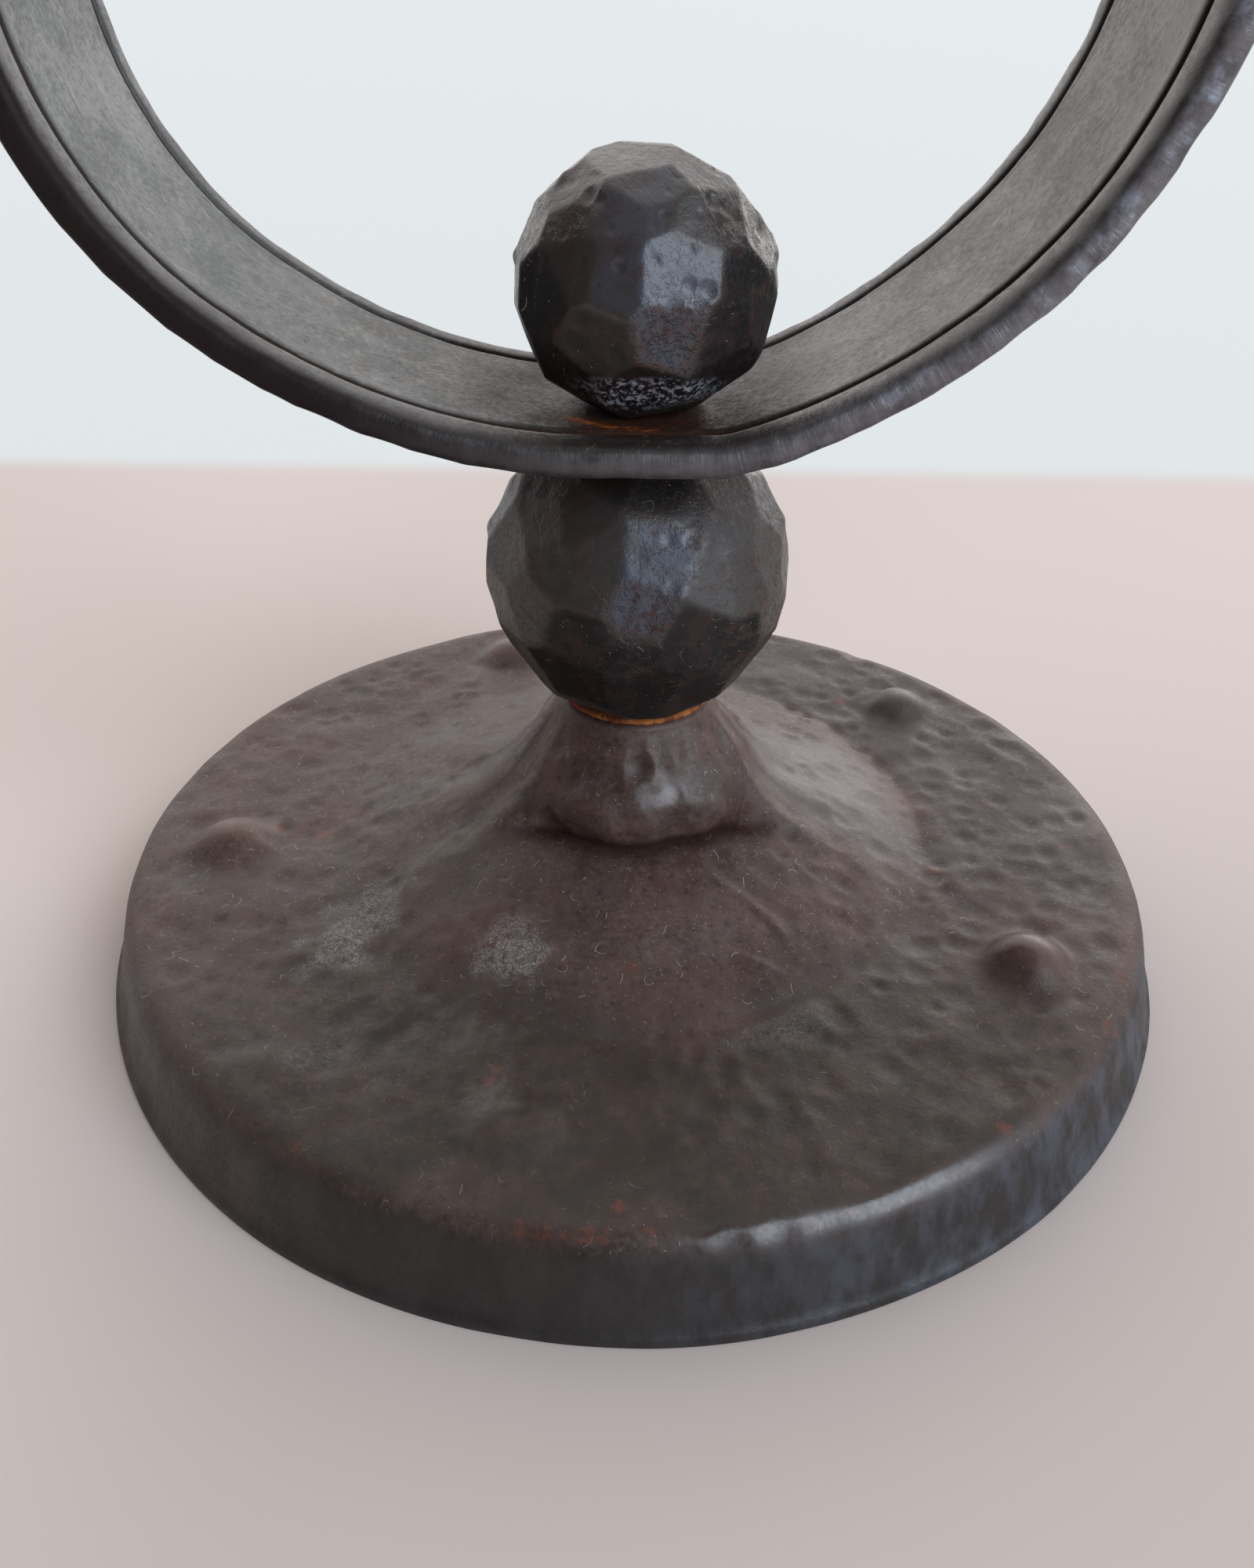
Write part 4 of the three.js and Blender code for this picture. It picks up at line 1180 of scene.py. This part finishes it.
# The left arm's front edge shines less, and its colour is painted darker as painted shade
write_mark(arm_bar, "dull", soft_step(-bar_y, 12.9, 14.1) * (1 - soft_step(bar_s, -34, -12)))
# The left arm is waxed less, so that it shines less
write_mark(arm_bar, "unwaxed", 1 - soft_step(bar_s, -24, 4))

arm_iron = Iron(
    "grey-brown arm iron", (0.0165, 0.0125, 0.0125), (0.0330, 0.0255, 0.0255), rough=0.37, rust=0.4, skin=0.5,
    bend=1.5,
)
arm_run = arm_iron.mark("run")
arm_laid = place(arm_iron.tree, "CombineXYZ", X=arm_run, Y=arm_iron.split["Y"])["Vector"]


def drawn_noise(turn, stretch, size, detail, roughness):
    """Noise on the bar as it is laid flat, drawn out along a way."""
    drawn = place(
        arm_iron.tree, "Mapping", {"vector_type": "TEXTURE"}, Vector=arm_laid, Rotation=(0, 0, turn),
        Scale=(1 / stretch, 1, 1),
    )
    return noise(drawn["Vector"], size, detail, roughness)


# The inner face is pale blue-grey, browner in clouds, mottled finely, and scratched
arm_streaks = drawn_noise(1.3, 0.5, 2.2, 5, 0.7)
arm_mottle = drawn_noise(1.7, 0.5, 1.4, 6, 0.74)
arm_worked = arm_iron.mark("worked")
arm_most = arm_worked.fade(0, 1, 0.4, 0.9)
arm_unwaxed = arm_iron.mark("unwaxed")
arm_brown = noise(arm_laid, 8, 4, 0.6).fade(0.36, 0.62) * arm_worked.fade(0, 1, 0.35, 1)
arm_scratches = drawn_noise(0.5, 0.05, 0.4, 2, 0.5).fade(0.655, 0.70).math(
    "MAXIMUM", drawn_noise(-0.25, 0.04, 0.35, 2, 0.5).fade(0.665, 0.71)
)
arm_grey = arm_brown.blend((0.063, 0.072, 0.072), (0.060, 0.052, 0.045))
for share, colour in (
    (arm_streaks.fade(0.42, 0.30, 0, 0.4), (0.040, 0.038, 0.036)),
    (arm_unwaxed * 0.18, (0.17, 0.18, 0.18)),
    (arm_mottle.fade(0.52, 0.62) * arm_most, (0.150, 0.150, 0.143)),
    (arm_mottle.fade(0.46, 0.34) * arm_most, (0.034, 0.027, 0.023)),
    (arm_scratches * 0.6, (0.26, 0.27, 0.27)),
):
    arm_grey = share.blend(arm_grey, colour)
arm_iron.stain(arm_iron.mark("inner") * noise(arm_laid, 4, 5, 0.7).fade(0.30, 0.50, 0.5, 0.95), arm_grey)
# Round the ball's seat it is dark brown, with ragged paler marks and some rust; the grooves and a band beside
# the front one are darker brown
arm_near = arm_iron.mark("near")
arm_groove = arm_iron.mark("groove")
arm_iron.stain(arm_near * noise(arm_laid, 1.5, 6, 0.76).fade(0.66, 0.50, 0.35, 1), (0.022, 0.0155, 0.0125))
arm_iron.stain(arm_near * drawn_noise(1.0, 0.4, 1.1, 6, 0.8).fade(0.56, 0.64, 0, 0.7), (0.150, 0.140, 0.120))
arm_iron.stain(arm_groove * 0.92, (0.030, 0.0150, 0.0105))
arm_browned = arm_iron.mark("browned") * drawn_noise(0, 0.5, 1.4, 5, 0.76).fade(0.40, 0.58, 0.3, 0.9)
arm_iron.stain(arm_browned, (0.062, 0.022, 0.012))
arm_rust = (arm_iron.mark("rusty") * 0.6 + drawn_noise(0, 0.4, 0.7, 5, 0.8)).fade(0.88, 1.16)
arm_iron.stain(arm_rust * 0.9, (0.13, 0.030, 0.012))
arm_iron.stain(arm_rust.fade(0.45, 1.0, 0, 0.85), (0.42, 0.115, 0.020))
# The rubbed edge is bare metal with short marks across it, and further out it has pale blue specks as painted
# highlights
arm_ticks = place(
    arm_iron.tree, "TexNoise", {"noise_dimensions": "1D"}, W=arm_run, Scale=1 / (0.7 * mm), Detail=3.0
)["Fac"]
arm_rubbed = arm_iron.mark("rubbed") * noise(arm_iron.where, 2.4, 4, 0.62).fade(0.30, 0.62, 0.35, 1)
arm_painted_glints = arm_run.fade(0.010, 0.028) * noise(arm_iron.where, 2.8, 4, 0.6).fade(0.50, 0.66, 0, 0.8)
arm_dull_shaded_edge = arm_iron.mark("dull")
arm_iron.stain(arm_rubbed, (0.175, 0.168, 0.178))
arm_iron.stain(arm_rubbed * arm_painted_glints, (0.30, 0.32, 0.38))
# Painted shade: the left arm's front edge is darkened
arm_iron.stain(arm_dull_shaded_edge * 0.75, (0.015, 0.0095, 0.0100))
arm_gloss = arm_dull_shaded_edge.fade(0, 1, 0.5, 0.1)
for duller in (
    arm_unwaxed.fade(0, 1, 0.5, 0.34),
    arm_near.fade(0.1, 0.9, 0.5, 0.12),
    arm_groove.fade(0.1, 0.8, 0.5, 0.08),
):
    arm_gloss = arm_gloss.math("MINIMUM", duller)
feed(arm_iron.shader, Metallic=arm_rubbed * 0.5, Specular_IOR_Level=arm_gloss)
arm_iron.roughness += arm_unwaxed * 0.1 + arm_rubbed * 0.06
arm_iron.reliefs += [
    (arm_streaks + arm_mottle, arm_worked.fade(0, 1, 0.2, 0.8), 0.14),
    (arm_ticks * arm_rubbed, 0.35, 0.2),
]
finish_piece(arm_bar, ["arm_bar"], arm_iron.close())

# Drip pans
# Two shallow dishes sunk from round sheet, with a smoothed edge. They are planished in rings on
# both faces, and a hole in the middle takes the rivet.

pan_low = 119.8
pan_wall = 1.4
pan_outer_line = [
    (2.7, 0), (8, 0), (14, 0), (18.6, 0.02), (21, 0.22), (23.4, 0.8), (25.4, 1.85), (26.8, 3.2),
    (27.5, 4.6), (27.85, 5.9),
]
pan_inner_line = [
    (26.5, 6.15), (26.2, 5.0), (25.5, 3.85), (24.4, 2.85), (22.6, 2.05), (20.6, 1.6), (18.4, 1.42),
    (14, 1.4), (8, 1.4), (2.7, 1.4),
]
pan_edge_line = [(27.8, 6.2), (27.5, 6.42), (27.1, 6.5), (26.7, 6.42)]
pan_line = np.vstack([
    smooth_line(pan_outer_line, 0.55), pan_edge_line, smooth_line(pan_inner_line, 0.55), [(2.7, 0.7)]
])


def drip_pan(name, seed):
    """A sunk and planished dish about its own middle."""
    dice = np.random.default_rng(seed)
    pan = turned(name, pan_line, 260)
    points = read_points(pan)
    wide = np.hypot(points[:, 0], points[:, 1])
    edge = soft_step(wide, 21, 27.8)
    points[:, 2] -= edge * (0.12 + 0.1 * waves(points * (1, 1, 0), 22, seed + 1))
    points[:, :2] *= (1 - edge * (0.004 + 0.004 * waves(points * (1, 1, 0), 18, seed + 2)))[:, None]
    write_points(pan, points)
    normals = read_normals(pan)
    inward = normals[:, 2] - 0.8 * (normals[:, :2] * points[:, :2]).sum(1) / np.maximum(wide, 1) > 0
    resting = soft_step(wide, 15.5, 17.5)
    faces = []
    for line, rings, face in (
        (pan_inner_line[::-1], np.arange(6.5, 27, 3.1), inward),
        (pan_outer_line, np.arange(17.5, 28, 3.1), ~inward * resting),
    ):
        radii, heights = np.array(line).T
        blows = rings_of_blows(dice, rings, lambda r: float(np.interp(r, radii, heights)), 3.6, 2.5, 0.13)
        faces.append((blows, face))
    write_mark(pan, "hollow", sum(dented(pan, *blows_and_face) for blows_and_face in faces) / 0.2)
    return pan


pan_finish = Iron(
    "brown pan iron", (0.034, 0.027, 0.024), (0.070, 0.056, 0.050), rough=0.42, rust=0.4, lint=0.15
).close()
stands = (("left", -pan_centre, 70), ("right", pan_centre, 80))


def stand_on_arm(piece, x, height):
    """Moves a piece that was made about the middle onto its arm."""
    write_points(piece, read_points(piece) + (x, 0, height))


for side, x, seed in stands:
    pan = drip_pan(side + "_hammered_pan", seed)
    stand_on_arm(pan, x, pan_low)
    finish_piece(pan, [side + "_drip_pan"], pan_finish)

# Candle cups
# Two sockets for 22 mm candles, drawn up from sheet over a mandrel. The wall is hammered in upright
# rows, and the lip is turned out and smoothed.

cup_low = pan_low + pan_wall
cup_outer_line = [
    (2.7, 0), (6, 0), (10.6, 0.02), (11.6, 0.2), (12.35, 0.75), (12.66, 1.7), (12.7, 4), (12.65, 8),
    (12.6, 12), (12.65, 15.5), (12.85, 18), (13.35, 19.9), (14.1, 21.1), (14.9, 21.7),
]
cup_lip_line = [(15.15, 21.95), (15.25, 22.3), (15.12, 22.66), (14.8, 22.86)]
cup_inner_line = [
    (14.3, 22.85), (13.3, 22.2), (12.45, 21.1), (11.85, 19.4), (11.55, 17.4), (11.4, 15), (11.4, 12),
    (11.4, 8), (11.4, 4), (11.35, 2.2), (11.05, 1.6), (10.4, 1.34), (6, 1.3), (2.7, 1.3),
]
cup_line = np.vstack([
    smooth_line(cup_outer_line, 0.45), cup_lip_line, smooth_line(cup_inner_line, 0.6), [(2.7, 0.65)]
])


def candle_cup(name, seed):
    """A hammered socket with a flared lip, about its own middle."""
    dice = np.random.default_rng(seed)
    cup = turned(name, cup_line, 220)
    points = read_points(cup)
    wide = np.hypot(points[:, 0], points[:, 1])
    lip = soft_step(points[:, 2], 18, 22.5)
    points[:, :2] *= (1 - lip * (0.006 + 0.006 * waves(points * (1, 1, 0), 12, seed + 1)))[:, None]
    points[:, 2] -= lip * (0.08 + 0.07 * waves(points * (1, 1, 0), 11, seed + 2))
    write_points(cup, points)
    wall_radii, wall_heights = np.array(cup_outer_line[2:]).T
    blows = []
    for high in np.arange(2.4, 21, 2.9):
        start = dice.uniform(0, 2 * math.pi)
        reach = float(np.interp(high, wall_heights, wall_radii))
        for i in range(19):
            turn = start + 2 * math.pi * (i + dice.normal(0, 0.18)) / 19
            blows.append((reach * math.cos(turn), reach * math.sin(turn), high + dice.normal(0, 0.4),
                          dice.uniform(1.9, 2.9), dice.uniform(0.06, 0.24)))
    normals = read_normals(cup)
    outward = (normals[:, :2] * points[:, :2]).sum(1) > 0.2 * wide
    hollows = dented(cup, blows, outward.astype(float))
    write_mark(cup, "hollow", hollows / 0.25)
    return cup


for side, x, seed in stands:
    cup = candle_cup(side + "_hammered_cup", seed + 3)
    stand_on_arm(cup, x, cup_low)
    finish_piece(cup, [side + "_candle_cup"], pan_finish)

# Rivets
# A round iron rivet holds each cup and pan on its arm. It goes in from below with a formed head,
# and is hammered over into a rough dome inside the cup.

rivet_radius = 2.4
rivet_head = 4.4
rivet_head_height = 1.7
rivet_grip_low = -2.6
rivet_grip_high = 2.7


def rivet(name, seed):
    """A headed pin about the pan's seat, with faceted domes."""
    dice = np.random.default_rng(seed)
    rises = np.linspace(0, math.pi / 2, 26)[:-1]
    dome = [(rivet_head * math.cos(a), rivet_head_height * math.sin(a)) for a in rises]
    dome.append((0, rivet_head_height))
    low = [(r, rivet_grip_low - z) for r, z in reversed(dome)]
    high = [(r, rivet_grip_high + z) for r, z in dome]
    face_low = [(r, rivet_grip_low) for r in np.linspace(rivet_head, rivet_radius, 5)[1:]]
    shank = [(rivet_radius, z) for z in np.linspace(rivet_grip_low, rivet_grip_high, 9)[1:]]
    face_high = [(r, rivet_grip_high) for r in np.linspace(rivet_radius, rivet_head, 5)[1:-1]]
    pin = turned(name, low + face_low + shank + face_high + high, 96, closed=False)
    points = read_points(pin)
    blows = []
    for z in (rivet_grip_low - rivet_head_height, rivet_grip_high + rivet_head_height):
        for _ in range(13):
            turn, reach = dice.uniform(0, 2 * math.pi), dice.uniform(0, 4.2)
            sink = rivet_head_height * (1 - math.sqrt(max(0, 1 - (reach / rivet_head) ** 2)))
            blows.append((reach * math.cos(turn), reach * math.sin(turn), z - math.copysign(sink, z),
                          dice.uniform(1.1, 1.9), dice.uniform(0.08, 0.2)))
    headed = (points[:, 2] < rivet_grip_low - 0.01) | (points[:, 2] > rivet_grip_high + 0.01)
    hollows = dented(pin, blows, headed.astype(float))
    write_mark(pin, "hollow", hollows / 0.2)
    write_mark(pin, "facet", 0.4 + 0.3 * waves(points, 2.5, seed))
    return pin


for side, x, seed in stands:
    pin = rivet(side + "_peened_rivet", seed + 6)
    stand_on_arm(pin, x, pan_low)
    finish_piece(pin, [side + "_rivet"], ball_finish)

# Tie rod, nut and washer
# A 5 mm screwed rod of plain steel pulls the stack together. It is screwed into the upper ball, and
# a nut on a thick washer tightens it in the hollow of the foot.

rod_radius = 2.5
rod_foot = 7.892
rod_head = 69.9
thread_pitch = 0.8
nut_low = 9.392
nut_high = 13.392
nut_flats = 8
washer_radius = 12.8
washer_high = 15.892

rod_line = [(0, rod_foot), (1.2, rod_foot), (1.9, rod_foot + 0.05)]
thread_z = rod_foot + 0.45
while thread_z < nut_high + 2:
    rod_line += [(2.1, thread_z)] + [(rod_radius, thread_z + share * thread_pitch) for share in (0.3, 0.45)]
    thread_z += thread_pitch
rod_line += [(rod_radius, z) for z in np.linspace(nut_high + 3, rod_head - 0.6, 24)]
rod_line += [(2.35, rod_head - 0.2), (2.1, rod_head), (1, rod_head), (0, rod_head)]
tie_rod = turned("screwed_rod", rod_line, 64, closed=False)
bpy.ops.object.shade_smooth_by_angle(angle=math.radians(35))
write_mark(tie_rod, "hollow", np.zeros(len(tie_rod.data.vertices)))

nut_rings = (2.8, 3.1, 3.6, 4.1, 4.6)
nut_line = [(r, nut_low) for r in nut_rings]
nut_line += [(4.6, z) for z in np.linspace(nut_low, nut_high, 12)[1:-1]]
nut_line += [(r, nut_high) for r in reversed(nut_rings)]
nut_line += [(2.8, z) for z in np.linspace(nut_high, nut_low, 6)[1:-1]]
nut = turned("clamp_nut", nut_line, 144)
points = read_points(nut)
turn = np.arctan2(points[:, 1], points[:, 0])
wide = np.hypot(points[:, 0], points[:, 1])
hexagon = nut_flats / 2 / np.cos((turn + math.pi / 6) % (math.pi / 3) - math.pi / 6)
spread = np.clip((wide - 2.8) / 1.8, 0, 1)
new_wide = 2.8 + spread * (hexagon - 2.8)
chamfer = np.maximum(0, new_wide - 3.85) * math.tan(math.radians(30))
points[:, :2] *= (new_wide / wide)[:, None]
points[:, 2] = np.clip(points[:, 2], nut_low + chamfer, nut_high - chamfer)
write_points(nut, points)
bpy.ops.object.shade_smooth_by_angle(angle=math.radians(20))
write_mark(nut, "hollow", np.zeros(len(points)))

washer_line = [(2.8, nut_high)] + [(r, nut_high) for r in np.arange(3.5, 12.2, 0.7)]
washer_edge = ((12.55, 0.1), (12.75, 0.4), (washer_radius, 0.9))
washer_line += [(r, nut_high + inset) for r, inset in washer_edge]
washer_line += [(r, washer_high - inset) for r, inset in reversed(washer_edge)]
washer_line += [(r, washer_high) for r in np.arange(12.0, 2.9, -0.9)]
washer_line += [(2.8, washer_high), (2.8, nut_high + 1.2)]
washer = turned("clamp_washer", washer_line, 160)
points = read_points(washer)
dice = np.random.default_rng(95)
washer_blows = [
    (r * math.cos(a), r * math.sin(a), nut_high, dice.uniform(1.2, 2.2), dice.uniform(0.03, 0.1))
    for r, a in zip(dice.uniform(5.8, 12, 70), dice.uniform(0, 2 * math.pi, 70))
]
write_mark(washer, "hollow", dented(washer, washer_blows) / 0.2)

steel_finish = Iron(
    "dull bare steel", (0.11, 0.10, 0.095), (0.20, 0.19, 0.18), rough=0.45, metal=0.8, rust=0.6, lint=0.05
).close()
for piece, node in ((tie_rod, "tie_rod"), (nut, "base_nut"), (washer, "base_washer")):
    finish_piece(piece, [node], steel_finish)
